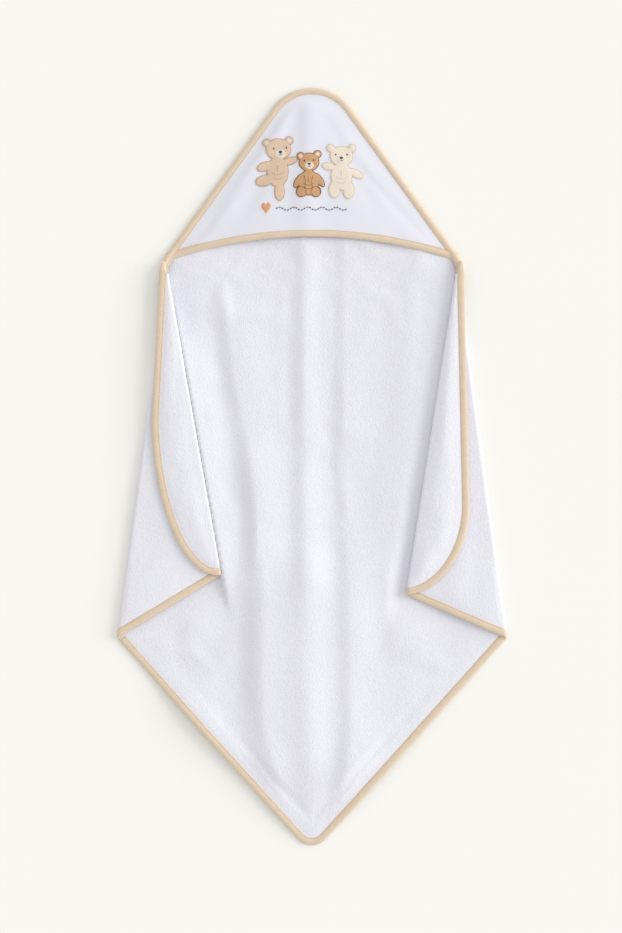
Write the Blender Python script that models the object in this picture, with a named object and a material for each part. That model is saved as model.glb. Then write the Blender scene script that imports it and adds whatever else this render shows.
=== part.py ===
"""Hooded baby towel, lying flat with both side corners folded in like a fan.

The towel is a square of terry stood on one corner. +Y runs from the bottom corner to the hood's tip,
+Z points away from the surface that it lies on. Each side corner is folded twice: a wing is turned back
over the centre at the outer fold, and a flap is turned out again over the wing at the inner fold. Both
folds start at the hood corner. Every raw edge is wrapped in a folded cotton binding.
"""

import math

import bmesh
import bpy
from mathutils import Vector
from mathutils.geometry import delaunay_2d_cdt, interpolate_bezier

LEFT, RIGHT = -1, 1
NAMES = {LEFT: "left", RIGHT: "right"}

# Driving dimensions, in metres. Places are (x, y) with x counted outwards from the middle line.
HALF_LENGTH = 0.497            # middle to the hood's tip, and to the bottom corner
HOOD_CORNER = (0.199, 0.267)   # where the hood's front edge meets the towel's edge
HOOD_TIP_RADIUS = 0.062
HOOD_ARCH = 0.034              # how far the front edge bows towards the tip
HOOD_RISE = 0.014              # how far the front edge stands above the seams
FOLD_SETBACK = (0.009, 0.005)  # both folds of a side meet this far in from the hood corner, and below it
OUTER_FOLD_FOOT = (0.256, -0.225)
INNER_FOLD_FOOT = {LEFT: (0.118, -0.142), RIGHT: (0.123, -0.168)}
FLAP_SHOULDER = {LEFT: (0.210, 0.060), RIGHT: (0.206, -0.050)}   # the side edge is straight above it
FLAP_HANDLES = {LEFT: ((0.206, -0.072), (0.160, -0.150)), RIGHT: ((0.206, -0.110), (0.170, -0.165))}
FAN_RELIEF = 0.030             # the stiff panels start this far below the fold head
BOTTOM_CORNER_RADIUS = 0.025
TERRY = 0.003                  # pile to pile
SEAM_TERRY = 0.001             # the same cloth pressed flat inside the binding
LAYER_PITCH = 0.005            # one folded layer to the next
HOOD_CLOTH = 0.001             # each of the hood's two layers
BACKING = 0.0003               # embroidery backing between them
BINDING_WIDTH = 0.010
BINDING_WALL = 0.0007
THREAD_RADIUS = 0.00025
APPLIQUE = 0.0008
DETAIL = 0.0005                # muzzles, ears and noses
GAP = 0.0003                   # between neighbours that touch on the real towel

SEAM_MARGIN = BINDING_WIDTH + 0.002   # flat strip along the hood's seams
SHOULDER = 0.017               # from there up to the sloping plane, level with the motifs' tops
SHOULDER_GROWTH = 0.15         # and how much wider it gets for each metre below them
MOTIF_TOP = 0.431
TUCK = 0.0015                  # how far a cloth's edge stays inside its binding's fold
STITCH_INSET = BINDING_WIDTH - 0.0015   # topstitching, just inside the binding's inner edge
ARC_STEPS = 10
FRONT_STEPS = 40
GRID = 0.016                   # spacing of the points inside a domed cloth

# Sizes that follow from those.
FOLD_HEAD = (HOOD_CORNER[0] - FOLD_SETBACK[0], HOOD_CORNER[1] - FOLD_SETBACK[1])
HOOD_BASE = TERRY + GAP + BINDING_WALL + GAP
OUTER_OFFSET = HOOD_CLOTH + GAP + BACKING + GAP
HOOD_STACK = OUTER_OFFSET + HOOD_CLOTH
FOLD_HEIGHT = (TERRY + LAYER_PITCH) / 2
HOOD_SLOPE_TOP = HALF_LENGTH - SEAM_MARGIN
HOOD_FRONT_MIDDLE = HOOD_CORNER[1] + HOOD_ARCH

# Motifs: ovals as (x, y, half width, half height, tilt in degrees), x to the right.
DANCING_BEAR = {
    "shape": [(-0.044, 0.415, 0.0155, 0.0135, 0), (-0.0445, 0.384, 0.013, 0.019, 0),
              (-0.059, 0.4225, 0.0050, 0.0050, 0), (-0.031, 0.4265, 0.0050, 0.0050, 0),
              (-0.062, 0.391, 0.0090, 0.0055, 25), (-0.029, 0.397, 0.0085, 0.0048, 15),
              (-0.062, 0.374, 0.0105, 0.0065, 10), (-0.042, 0.360, 0.0060, 0.0110, 0)],
    "ears": [(-0.059, 0.4225, 0.0026, 0.0026, 0), (-0.031, 0.4265, 0.0026, 0.0026, 0)],
    "muzzle": (-0.0415, 0.409, 0.0065, 0.0055, 0),
    "nose": (-0.0415, 0.4115, 0.0018, 0.0013, 0),
    "colour": (0.66, 0.50, 0.35),
}
SITTING_BEAR = {
    "shape": [(-0.004, 0.3975, 0.0125, 0.0115, 0), (-0.0045, 0.371, 0.0125, 0.016, 0),
              (-0.0145, 0.405, 0.0048, 0.0048, 0), (0.0065, 0.4075, 0.0048, 0.0048, 0),
              (-0.0175, 0.377, 0.0045, 0.0090, -25), (0.0085, 0.378, 0.0085, 0.0045, -30),
              (-0.014, 0.3615, 0.0065, 0.0080, 0), (0.0035, 0.3615, 0.0065, 0.0080, 0)],
    "ears": [(-0.0145, 0.405, 0.0025, 0.0025, 0), (0.0065, 0.4075, 0.0025, 0.0025, 0)],
    "muzzle": (-0.004, 0.3935, 0.0055, 0.0045, 0),
    "nose": (-0.004, 0.3955, 0.0016, 0.0012, 0),
    "colour": (0.60, 0.34, 0.15),
}
STANDING_BEAR = {
    "shape": [(0.0385, 0.406, 0.0140, 0.0125, 0), (0.0385, 0.380, 0.013, 0.018, 0),
              (0.025, 0.4165, 0.0048, 0.0048, 0), (0.0515, 0.4165, 0.0048, 0.0048, 0),
              (0.0225, 0.393, 0.0080, 0.0045, -10), (0.057, 0.384, 0.0095, 0.0048, -30),
              (0.029, 0.3625, 0.0065, 0.0105, 0), (0.0475, 0.3615, 0.0065, 0.0105, -5)],
    "ears": [(0.025, 0.4165, 0.0025, 0.0025, 0), (0.0515, 0.4165, 0.0025, 0.0025, 0)],
    "muzzle": (0.0385, 0.4015, 0.0060, 0.0050, 0),
    "nose": (0.0385, 0.4035, 0.0017, 0.0012, 0),
    "colour": (0.85, 0.74, 0.58),
}
BEARS = {"dancing_bear": DANCING_BEAR, "sitting_bear": SITTING_BEAR, "standing_bear": STANDING_BEAR}
OVAL_SIDES = 20
HEART = (-0.060, 0.338, 0.0062)            # middle, and half its width
WAVE_LINE = (-0.047, 0.046, 0.3375, 0.004, 5)   # from x, to x, y, height, number of waves
WAVE_THREAD_RADIUS = 0.0006
BACKING_SPAN = (0.328, 0.428)              # low y, high y


def material(name, colour, roughness=0.9):
    made = bpy.data.materials.new(name)
    made.use_nodes = True
    shader = made.node_tree.nodes["Principled BSDF"]
    shader.inputs["Base Color"].default_value = (*colour, 1)
    shader.inputs["Roughness"].default_value = roughness
    shader.inputs["Metallic"].default_value = 0
    return made


def clear_scene():
    for obj in list(bpy.data.objects):
        bpy.data.objects.remove(obj)


def collection(name):
    made = bpy.data.collections.new(name)
    bpy.context.scene.collection.children.link(made)
    return made


def place(obj, look, parent=None):
    """Puts a finished piece in the towel's collection, on its material and under its fold's empty."""
    parts.objects.link(obj)
    obj.data.materials.append(look)
    if parent:
        obj.parent = parent
        obj.matrix_parent_inverse = parent.matrix_world.inverted()
    return obj


def helper(obj):
    """A cutter or an inner shape that a Boolean reads, kept out of the towel."""
    cutters.objects.link(obj)
    obj.hide_render = True
    obj.display_type = "WIRE"
    return obj


def boolean(obj, other, operation):
    step = obj.modifiers.new(operation.lower(), "BOOLEAN")
    step.operation = operation
    step.object = other
    step.solver = "EXACT"


# Outlines are lists of (x, y) points, anticlockwise, so that inwards is on the left of each edge.

def inward_normal(start, end):
    along = (Vector(end) - Vector(start)).normalized()
    return Vector((-along.y, along.x))


def inset(outline, margins):
    """The closed outline with the edge that leaves each point moved inwards by that point's margin."""
    moved = []
    for i, corner in enumerate(outline):
        first = inward_normal(outline[i - 1], corner)
        second = inward_normal(corner, outline[(i + 1) % len(outline)])
        turn = first.x * second.y - first.y * second.x
        if abs(turn) < 1e-6:
            shift = first * margins[i - 1]
        else:
            shift = Vector((margins[i - 1] * second.y - margins[i] * first.y,
                            margins[i] * first.x - margins[i - 1] * second.x)) / turn
        moved.append(tuple(Vector(corner) + shift))
    return moved


def rounded(before, corner, after, radius):
    """Points of the arc of this radius that replaces a corner."""
    corner = Vector(corner)
    back = (Vector(before) - corner).normalized()
    on = (Vector(after) - corner).normalized()
    half = back.angle(on) / 2
    middle = corner + (back + on).normalized() * radius / math.sin(half)
    start = corner + back * radius / math.tan(half) - middle
    turn = -(math.pi - 2 * half) if back.x * on.y - back.y * on.x > 0 else math.pi - 2 * half
    points = []
    for i in range(ARC_STEPS + 1):
        angle = turn * i / ARC_STEPS
        spun = Vector((start.x * math.cos(angle) - start.y * math.sin(angle),
                       start.x * math.sin(angle) + start.y * math.cos(angle)))
        points.append(tuple(middle + spun))
    return points


def oval(x, y, half_width, half_height, tilt):
    lean = math.radians(tilt)
    points = []
    for i in range(OVAL_SIDES):
        angle = math.tau * i / OVAL_SIDES
        across, up = half_width * math.cos(angle), half_height * math.sin(angle)
        points.append((x + across * math.cos(lean) - up * math.sin(lean),
                       y + across * math.sin(lean) + up * math.cos(lean)))
    return points


def cloth(name, outlines, floor_of, thickness, inner_points=(), lines=()):
    """A closed sheet over the outlines' union, with upright walls and its lower face at floor_of(x, y)."""
    points, faces, edges = [], [], []
    for outline in outlines:
        faces.append(list(range(len(points), len(points) + len(outline))))
        points += [Vector(p) for p in outline]
    for line in lines:
        first = len(points)
        points += [Vector(p) for p in line]
        edges += [(first + i, first + i + 1) for i in range(len(line) - 1)]
    points += [Vector(p) for p in inner_points]
    flat, _, found, _, _, owners = delaunay_2d_cdt(points, edges, faces, 1, 1e-6, True)
    triangles = [triangle for triangle, owner in zip(found, owners) if owner]
    mesh = bmesh.new()
    corners = [mesh.verts.new((p.x, p.y, floor_of(p.x, p.y))) for p in flat]
    lower = [mesh.faces.new([corners[i] for i in triangle]) for triangle in triangles]
    bmesh.ops.delete(mesh, geom=[v for v in mesh.verts if not v.link_faces], context="VERTS")
    raised = bmesh.ops.extrude_face_region(mesh, geom=lower, use_keep_orig=True)["geom"]
    tops = [item for item in raised if isinstance(item, bmesh.types.BMVert)]
    bmesh.ops.translate(mesh, verts=tops, vec=(0, 0, thickness))
    bmesh.ops.recalc_face_normals(mesh, faces=mesh.faces[:])
    data = bpy.data.meshes.new(name)
    mesh.to_mesh(data)
    mesh.free()
    return bpy.data.objects.new(name, data)


def level(height):
    return lambda x, y: height


def bound_panel(name, outline, bound, base, look, parent=None):
    """A terry panel: full pile inside, and pressed flat where the binding grips it."""
    pile = inset(outline, [BINDING_WIDTH + GAP if b else GAP for b in bound])
    pressed = inset(outline, [TUCK if b else GAP for b in bound])
    panel = cloth(name, [pile], level(base), TERRY)
    edge_base = base + (TERRY - SEAM_TERRY) / 2
    edge = helper(cloth(name + "_edge", [pressed], level(edge_base), SEAM_TERRY))
    boolean(panel, edge, "UNION")
    return place(panel, look, parent)


def strip(outline, bound, run, width_from, width_to):
    """The part of the outline's rim between two insets, along one bound run of edges."""
    outer = inset(outline, [width_from if b else GAP for b in bound])
    inner = inset(outline, [width_to if b else GAP for b in bound])
    return outer[run] + inner[run][::-1]


def binding(name, outline, bound, run, base, height, look, parent=None):
    """Folded tape that wraps a flat edge: an outer strip with a slot for the cloth, open inwards."""
    tape = cloth(name, [strip(outline, bound, run, 0, BINDING_WIDTH)], level(base), height)
    slot = strip(outline, bound, run, TUCK - GAP, 2 * BINDING_WIDTH)
    slot_ends = [Vector(p) for p in (slot[0], slot[len(slot) // 2 - 1])]
    slot[0] = tuple(slot_ends[0] + (slot_ends[0] - Vector(slot[1])).normalized() * BINDING_WIDTH)
    last = len(slot) // 2 - 1
    slot[last] = tuple(slot_ends[1] + (slot_ends[1] - Vector(slot[last - 1])).normalized() * BINDING_WIDTH)
    cutter = helper(cloth(name + "_slot", [slot], level(base + BINDING_WALL), height - 2 * BINDING_WALL))
    boolean(tape, cutter, "DIFFERENCE")
    return place(tape, look, parent)


def thread(name, path, radius, look, parent=None):
    """Stitching as one continuous thread through (x, y, z) points."""
    curve = bpy.data.curves.new(name, "CURVE")
    curve.dimensions = "3D"
    curve.bevel_depth = radius
    curve.bevel_resolution = 1
    curve.use_fill_caps = True
    line = curve.splines.new("POLY")
    line.points.add(len(path) - 1)
    for point, place_at in zip(line.points, path):
        point.co = (*place_at, 1)
    return place(bpy.data.objects.new(name, curve), look, parent)


def topstitch(name, outline, bound, run, top, look, parent=None):
    line = inset(outline, [STITCH_INSET if b else TUCK for b in bound])[run]
    height = top + GAP + THREAD_RADIUS
    return thread(name, [(*p, height) for p in line], THREAD_RADIUS, look, parent)


# The hood's dome: flat along the seams, rising to a sloping plane that the motifs lie on.

def hood_half_width(y):
    run = HOOD_APEX[1] - y
    return run * HOOD_CORNER[0] / (HOOD_APEX[1] - HOOD_CORNER[1])


def shoulder_width(y):
    return SHOULDER + SHOULDER_GROWTH * max(0.0, MOTIF_TOP - y)


def hood_lift(x, y):
    to_seam = (hood_half_width(y) - abs(x)) * math.cos(LEAN) - SEAM_MARGIN
    share = min(1.0, max(0.0, to_seam / shoulder_width(y)))
    rise = HOOD_RISE * max(0.0, HOOD_SLOPE_TOP - y) / (HOOD_SLOPE_TOP - HOOD_FRONT_MIDDLE)
    return rise * share * share * (3 - 2 * share)


def apex_of_legs():
    """Where the hood's straight legs would cross, so that their rounded tip ends at HALF_LENGTH."""
    low, high = HALF_LENGTH, HALF_LENGTH + 2 * HOOD_TIP_RADIUS
    for _ in range(60):
        middle = (low + high) / 2
        half = math.atan2(HOOD_CORNER[0], middle - HOOD_CORNER[1])
        tip = middle - HOOD_TIP_RADIUS * (1 / math.sin(half) - 1)
        low, high = (middle, high) if tip < HALF_LENGTH else (low, middle)
    return (0.0, low)


def bottom_of_edges():
    """Where the two bottom edges would cross, so that their rounded corner ends at -HALF_LENGTH."""
    low, high = HALF_LENGTH, HALF_LENGTH + 2 * BOTTOM_CORNER_RADIUS
    for _ in range(60):
        middle = (low + high) / 2
        half = math.atan2(OUTER_FOLD_FOOT[0], middle + OUTER_FOLD_FOOT[1])
        tip = middle - BOTTOM_CORNER_RADIUS * (1 / math.sin(half) - 1)
        low, high = (middle, high) if tip < HALF_LENGTH else (low, middle)
    return (0.0, -low)


def side(place_at, hand):
    return (hand * place_at[0], place_at[1])


clear_scene()
parts = collection("hooded_baby_towel")
cutters = collection("cutters")

HOOD_APEX = apex_of_legs()
BOTTOM_APEX = bottom_of_edges()

terry_white = material("terry_white", (0.83, 0.83, 0.87))
velour_white = material("velour_white", (0.86, 0.86, 0.90), 0.8)
binding_beige = material("binding_beige", (0.78, 0.62, 0.45), 0.8)
beige_thread = material("beige_thread", (0.72, 0.56, 0.40), 0.6)
dark_thread = material("dark_thread", (0.12, 0.09, 0.09), 0.6)
muzzle_white = material("muzzle_white", (0.90, 0.86, 0.80))
heart_peach = material("heart_peach", (0.76, 0.42, 0.22))
backing_white = material("backing_white", (0.80, 0.80, 0.80))


# Centre panel: hood legs, outer folds and bottom edges, anticlockwise from the right hood corner.
legs = [side(HOOD_CORNER, RIGHT)]
legs += rounded(side(HOOD_CORNER, RIGHT), HOOD_APEX, side(HOOD_CORNER, LEFT), HOOD_TIP_RADIUS)
legs += [side(HOOD_CORNER, LEFT)]
outer_feet = [side(OUTER_FOLD_FOOT, LEFT), side(OUTER_FOLD_FOOT, RIGHT)]
bottom_corner = rounded(outer_feet[0], BOTTOM_APEX, outer_feet[1], BOTTOM_CORNER_RADIUS)
bottom = [outer_feet[0], *bottom_corner, outer_feet[1]]
centre = legs + [side(FOLD_HEAD, LEFT)] + bottom + [side(FOLD_HEAD, RIGHT)]
centre_bound = [True] * (len(legs) - 1) + [False] * 2 + [True] * (len(bottom) - 1) + [False] * 2
legs_run = slice(0, len(legs))
bottom_run = slice(len(legs) + 1, len(legs) + 1 + len(bottom))

bound_panel("centre_panel", centre, centre_bound, 0, terry_white)
binding("bottom_edge_binding", centre, centre_bound, bottom_run, 0, TERRY, binding_beige)
topstitch("bottom_edge_stitching", centre, centre_bound, bottom_run, TERRY, beige_thread)
leg_binding_height = HOOD_BASE + HOOD_STACK + GAP + BINDING_WALL
binding("hood_seam_binding", centre, centre_bound, legs_run, 0, leg_binding_height, binding_beige)
topstitch("hood_seam_stitching", centre, centre_bound, legs_run, leg_binding_height, beige_thread)


# Hood: a terry lining and a smooth outer face of the same cut, with the backing between them.
LEAN = math.atan2(HOOD_CORNER[0], HOOD_APEX[1] - HOOD_CORNER[1])


def front_height(x, margin):
    """The y of the bowed front edge at x, moved inwards by the margin."""
    slope_here = 2 * HOOD_ARCH * x / HOOD_CORNER[0] ** 2
    bow = HOOD_ARCH * (1 - (x / HOOD_CORNER[0]) ** 2)
    return HOOD_CORNER[1] + bow + margin * math.hypot(1, slope_here)


def hood_front(seam_margin, front_margin):
    """The front edge moved inwards, from the left seam's own inset to the right one's."""
    low, high = 0.0, HOOD_CORNER[0]
    for _ in range(60):
        x = (low + high) / 2
        room = (hood_half_width(front_height(x, front_margin)) - x) * math.cos(LEAN) - seam_margin
        low, high = (x, high) if room > 0 else (low, x)
    samples = [HOOD_CORNER[0] * (2 * i / FRONT_STEPS - 1) for i in range(FRONT_STEPS + 1)]
    inner = [x for x in samples if abs(x) < low - TUCK]
    return [(x, front_height(x, front_margin)) for x in [-low, *inner, low]]


def hood_legs(seam_margin):
    """The rounded tip between the two straight seams, moved inwards."""
    return inset(legs, [seam_margin] * len(legs))[1:-1]


def hood_outline(seam_margin, front_margin):
    return hood_legs(seam_margin) + hood_front(seam_margin, front_margin)


hood_cut = hood_outline(TUCK, TUCK)
flat_edge = hood_outline(SEAM_MARGIN, BINDING_WIDTH)
flat_edge.append(flat_edge[0])
columns = int(HOOD_CORNER[0] / GRID)
rows = int((HALF_LENGTH - HOOD_CORNER[1]) / GRID)
grid = []
for i in range(-columns, columns + 1):
    for j in range(rows):
        x, y = i * GRID, HOOD_CORNER[1] + j * GRID
        from_seam = (hood_half_width(y) - abs(x)) * math.cos(LEAN) - SEAM_MARGIN
        from_front = y - front_height(x, BINDING_WIDTH)
        if from_seam > GRID / 3 and GRID / 3 < from_front and y < HOOD_SLOPE_TOP - GRID:
            grid.append((x, y))


def plane_half_width(y):
    """How far the sloping plane reaches to each side at this y."""
    return hood_half_width(y) - (SEAM_MARGIN + shoulder_width(y) + GAP) / math.cos(LEAN)


low_y, high_y = BACKING_SPAN
backing_outline = [(hand * plane_half_width(y), y)
                   for hand, y in ((LEFT, low_y), (RIGHT, low_y), (RIGHT, high_y), (LEFT, high_y))]
on_dome = [flat_edge, backing_outline + backing_outline[:1]]


def hood_floor(offset):
    return lambda x, y: HOOD_BASE + offset + hood_lift(x, y)


lining = cloth("hood_lining", [hood_cut], hood_floor(0), HOOD_CLOTH, grid, on_dome)
place(lining, terry_white)
outer = cloth("hood_outer_panel", [hood_cut], hood_floor(OUTER_OFFSET), HOOD_CLOTH, grid, on_dome)
place(outer, velour_white)
slope = HOOD_RISE / (HOOD_SLOPE_TOP - HOOD_FRONT_MIDDLE)


def motif_plane(offset):
    """The hood's sloping plane, raised by offset."""
    return lambda x, y: HOOD_BASE + offset + slope * (HOOD_SLOPE_TOP - y)


place(cloth("embroidery_backing", [backing_outline], motif_plane(HOOD_CLOTH + GAP), BACKING), backing_white)

seam_clear = BINDING_WIDTH + 2 * GAP
front_tape = hood_front(seam_clear, 0) + hood_front(seam_clear, BINDING_WIDTH)[::-1]
front_slot = hood_front(0, TUCK - GAP) + hood_front(0, 2 * BINDING_WIDTH)[::-1]
edge_line = hood_front(seam_clear, STITCH_INSET)
tape = cloth("hood_edge_binding", [front_tape], hood_floor(-GAP - BINDING_WALL),
             HOOD_STACK + 2 * (GAP + BINDING_WALL), (), [edge_line])
slot = cloth("hood_edge_binding_slot", [front_slot], hood_floor(-GAP), HOOD_STACK + 2 * GAP,
             (), [hood_front(SEAM_MARGIN, BINDING_WIDTH)])
boolean(tape, helper(slot), "DIFFERENCE")
place(tape, binding_beige)
edge_top = HOOD_BASE + HOOD_STACK + GAP + BINDING_WALL + GAP + THREAD_RADIUS
thread("hood_edge_stitching", [(x, y, edge_top + hood_lift(x, y)) for x, y in edge_line[1:-1]],
       THREAD_RADIUS, beige_thread)


# Motifs on the hood's plane.
hood_top = HOOD_STACK + GAP
for bear_name, bear in BEARS.items():
    look = material(bear_name + "_cloth", bear["colour"])
    outlines = [oval(*one) for one in bear["shape"]]
    place(cloth(bear_name, outlines, motif_plane(hood_top), APPLIQUE), look)
    on_bear = hood_top + APPLIQUE + GAP
    for hand, ear in zip((LEFT, RIGHT), bear["ears"]):
        name = bear_name + "_" + NAMES[hand] + "_inner_ear"
        place(cloth(name, [oval(*ear)], motif_plane(on_bear), DETAIL), muzzle_white)
    muzzle = cloth(bear_name + "_muzzle", [oval(*bear["muzzle"])], motif_plane(on_bear), DETAIL)
    place(muzzle, muzzle_white)
    nose = cloth(bear_name + "_nose", [oval(*bear["nose"])], motif_plane(on_bear + DETAIL + GAP), DETAIL)
    place(nose, dark_thread)

heart_x, heart_y, heart_size = HEART
heart_outline = []
for i in range(24):
    angle = math.tau * i / 24
    across = math.sin(angle) ** 3
    up = (13 * math.cos(angle) - 5 * math.cos(2 * angle) - 2 * math.cos(3 * angle) - math.cos(4 * angle)) / 16
    heart_outline.append((heart_x - heart_size * across, heart_y + heart_size * (up + 0.15) * 1.25))
place(cloth("heart_patch", [heart_outline], motif_plane(hood_top), APPLIQUE), heart_peach)

wave_from, wave_to, wave_y, wave_height, waves = WAVE_LINE
wave_steps = 8 * waves
wave = []
for i in range(wave_steps + 1):
    x = wave_from + (wave_to - wave_from) * i / wave_steps
    y = wave_y + wave_height / 2 * math.sin(math.tau * waves * i / wave_steps)
    wave.append((x, y, motif_plane(hood_top + WAVE_THREAD_RADIUS)(x, y)))
thread("stitched_wave_line", wave, WAVE_THREAD_RADIUS, dark_thread)


# Wings and flaps, each under an empty on its fold.

def fold_empty(name, head, foot, height, parent=None):
    made = bpy.data.objects.new(name, None)
    parts.objects.link(made)
    made.location = ((head[0] + foot[0]) / 2, (head[1] + foot[1]) / 2, height)
    made.rotation_euler.z = math.atan2(foot[1] - head[1], foot[0] - head[0])
    bpy.context.view_layer.update()
    if parent:
        made.parent = parent
        made.matrix_parent_inverse = parent.matrix_world.inverted()
    return made


def at_height(head, foot, y):
    """The point of the line from head to foot at this y."""
    share = (y - head[1]) / (foot[1] - head[1])
    return (head[0] + share * (foot[0] - head[0]), y)


def anticlockwise(points, bound, hand):
    """Mirroring to the left turns an outline round, so its points and edges are read backwards."""
    if hand == RIGHT:
        return points, bound
    return points[::-1], bound[-2::-1] + bound[-1:]


def bound_run(bound):
    """The points of an outline's only stretch of bound edges."""
    first = bound.index(True)
    return slice(first, first + sum(bound) + 1)


def folded_piece(name, outline, bound, base, parent):
    """A panel with its binding and topstitching, on the layer whose underside is at base."""
    run = bound_run(bound)
    bound_panel(name + "_panel", outline, bound, base, terry_white, parent)
    binding(name + "_binding", outline, bound, run, base, TERRY, binding_beige, parent)
    topstitch(name + "_stitching", outline, bound, run, base + TERRY, beige_thread, parent)


for hand in (LEFT, RIGHT):
    name = NAMES[hand]
    inner_foot = INNER_FOLD_FOOT[hand]
    relief = FOLD_HEAD[1] - FAN_RELIEF
    outer_top = at_height(FOLD_HEAD, OUTER_FOLD_FOOT, relief)
    inner_top = at_height(FOLD_HEAD, inner_foot, relief)
    wing_hinge = fold_empty(name + "_outer_fold", side(FOLD_HEAD, hand), side(OUTER_FOLD_FOOT, hand),
                            FOLD_HEIGHT)
    flap_hinge = fold_empty(name + "_inner_fold", side(FOLD_HEAD, hand), side(inner_foot, hand),
                            FOLD_HEIGHT + LAYER_PITCH, wing_hinge)

    wing = [side(p, hand) for p in (outer_top, inner_top, inner_foot, OUTER_FOLD_FOOT)]
    wing, wing_bound = anticlockwise(wing, [False, False, True, False], hand)
    folded_piece(name + "_wing", wing, wing_bound, LAYER_PITCH, wing_hinge)

    shoulder, handles = FLAP_SHOULDER[hand], FLAP_HANDLES[hand]
    knots = [Vector(p) for p in (inner_foot, *handles[::-1], shoulder)]
    corner = interpolate_bezier(*knots, ARC_STEPS + 1)
    edge = [(p.x, p.y) for p in corner] + [at_height(HOOD_CORNER, shoulder, relief)]
    flap = [side(p, hand) for p in [inner_top] + edge]
    flap, flap_bound = anticlockwise(flap, [False] + [True] * (len(edge) - 1) + [False], hand)
    folded_piece(name + "_flap", flap, flap_bound, 2 * LAYER_PITCH, flap_hinge)
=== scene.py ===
"""Looks of the hooded baby towel: terry layers, velour hood, folded binding, stitches and embroidery."""
import math

import bmesh
import bpy
import numpy as np
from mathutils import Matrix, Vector, noise
from mathutils.geometry import delaunay_2d_cdt, interpolate_bezier


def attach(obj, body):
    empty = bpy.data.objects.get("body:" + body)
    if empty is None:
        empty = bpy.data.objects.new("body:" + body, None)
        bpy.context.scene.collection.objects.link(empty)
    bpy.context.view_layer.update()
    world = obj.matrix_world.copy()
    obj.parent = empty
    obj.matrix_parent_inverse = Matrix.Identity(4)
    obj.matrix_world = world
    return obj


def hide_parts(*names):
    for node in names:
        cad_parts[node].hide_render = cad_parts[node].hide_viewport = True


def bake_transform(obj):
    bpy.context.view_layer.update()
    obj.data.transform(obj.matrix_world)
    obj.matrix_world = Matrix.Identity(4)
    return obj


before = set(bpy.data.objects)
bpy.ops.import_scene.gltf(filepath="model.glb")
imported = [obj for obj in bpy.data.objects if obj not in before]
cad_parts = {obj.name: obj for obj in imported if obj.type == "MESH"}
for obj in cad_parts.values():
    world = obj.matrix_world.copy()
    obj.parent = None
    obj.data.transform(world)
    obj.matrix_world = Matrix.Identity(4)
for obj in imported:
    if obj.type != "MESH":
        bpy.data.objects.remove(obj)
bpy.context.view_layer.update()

LEFT, RIGHT = -1, 1
NAMES = {LEFT: "left", RIGHT: "right"}
MM = 0.001

# The towel's own dimensions, in metres, as in its CAD.
HALF_LENGTH = 0.497
HOOD_CORNER = (0.199, 0.267)
HOOD_TIP_RADIUS = 0.062
HOOD_ARCH = 0.034
HOOD_RISE = 0.014
FOLD_HEAD = (0.190, 0.262)
OUTER_FOLD_FOOT = (0.256, -0.225)
INNER_FOLD_FOOT = {LEFT: (0.118, -0.142), RIGHT: (0.123, -0.168)}
FLAP_SHOULDER = {LEFT: (0.210, 0.060), RIGHT: (0.206, -0.050)}
FLAP_HANDLES = {LEFT: ((0.206, -0.072), (0.160, -0.150)), RIGHT: ((0.206, -0.110), (0.170, -0.165))}
BOTTOM_CORNER_RADIUS = 0.025
BINDING_WIDTH = 0.010
SEAM_MARGIN = BINDING_WIDTH + 0.002
TUCK = 0.0015
STITCH_INSET = BINDING_WIDTH - 0.0016

# Heights of the layers' middles and of the folds' hinges, and half thicknesses.
WING_Z, FLAP_Z = 0.0065, 0.0115
OUTER_HINGE_Z, INNER_HINGE_Z = 0.004, 0.009
TAPE_Z = 0.0018                 # the bottom binding's middle, a little higher so that it stays off the floor
HALF_TERRY = 0.0015
HALF_PRESSED = 0.0008
HALF_TAPE = 0.00175
HALF_SEAM_TAPE = 0.0028
LOOP_RADIUS = 0.0025
LOOP_SETBACK = 0.00393          # a fold's loop starts this far from the fold line
HALF_HOOD_CLOTH = 0.0005
HALF_FRONT = 0.0021             # the hood's front-edge binding
HOOD_BASE = 0.0043
OUTER_OFFSET = 0.0019           # from the hood's lining up to its outer panel
OUTER_SEAM_Z, LINING_SEAM_Z, FRONT_SEAM_Z = 0.0042, 0.0030, 0.0036

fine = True


def directions(points):
    """Unit vectors along a line of points."""
    along = np.gradient(points, axis=0)
    return along / np.maximum(np.linalg.norm(along, axis=1, keepdims=True), 1e-12)


def length_along(points):
    """Each point's distance along a line of points."""
    return np.concatenate([[0], np.cumsum(np.linalg.norm(np.diff(points, axis=0), axis=1))])


def along_and_off(x, y, start, end):
    """The share of the way from start to end, and the distance to the side of it."""
    start, end = np.array(start), np.array(end)
    along = end - start
    share = ((x - start[0]) * along[0] + (y - start[1]) * along[1]) / (along @ along)
    return share, ((x - start[0]) * along[1] - (y - start[1]) * along[0]) / math.sqrt(along @ along)


def smooth(t):
    t = np.clip(t, 0, 1)
    return t * t * (3 - 2 * t)


# Plane geometry: outlines are anticlockwise arrays of (x, y).

def inset(outline, margin):
    """The closed outline moved inwards by one margin."""
    moved = []
    count = len(outline)
    for i in range(count):
        a, b, c = Vector(outline[i - 1]), Vector(outline[i]), Vector(outline[(i + 1) % count])
        first, second = (b - a).normalized(), (c - b).normalized()
        first, second = Vector((-first.y, first.x)), Vector((-second.y, second.x))
        middle = (first + second).normalized()
        moved.append(tuple(b + middle * margin / max(0.2, middle.dot(first))))
    return moved


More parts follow.
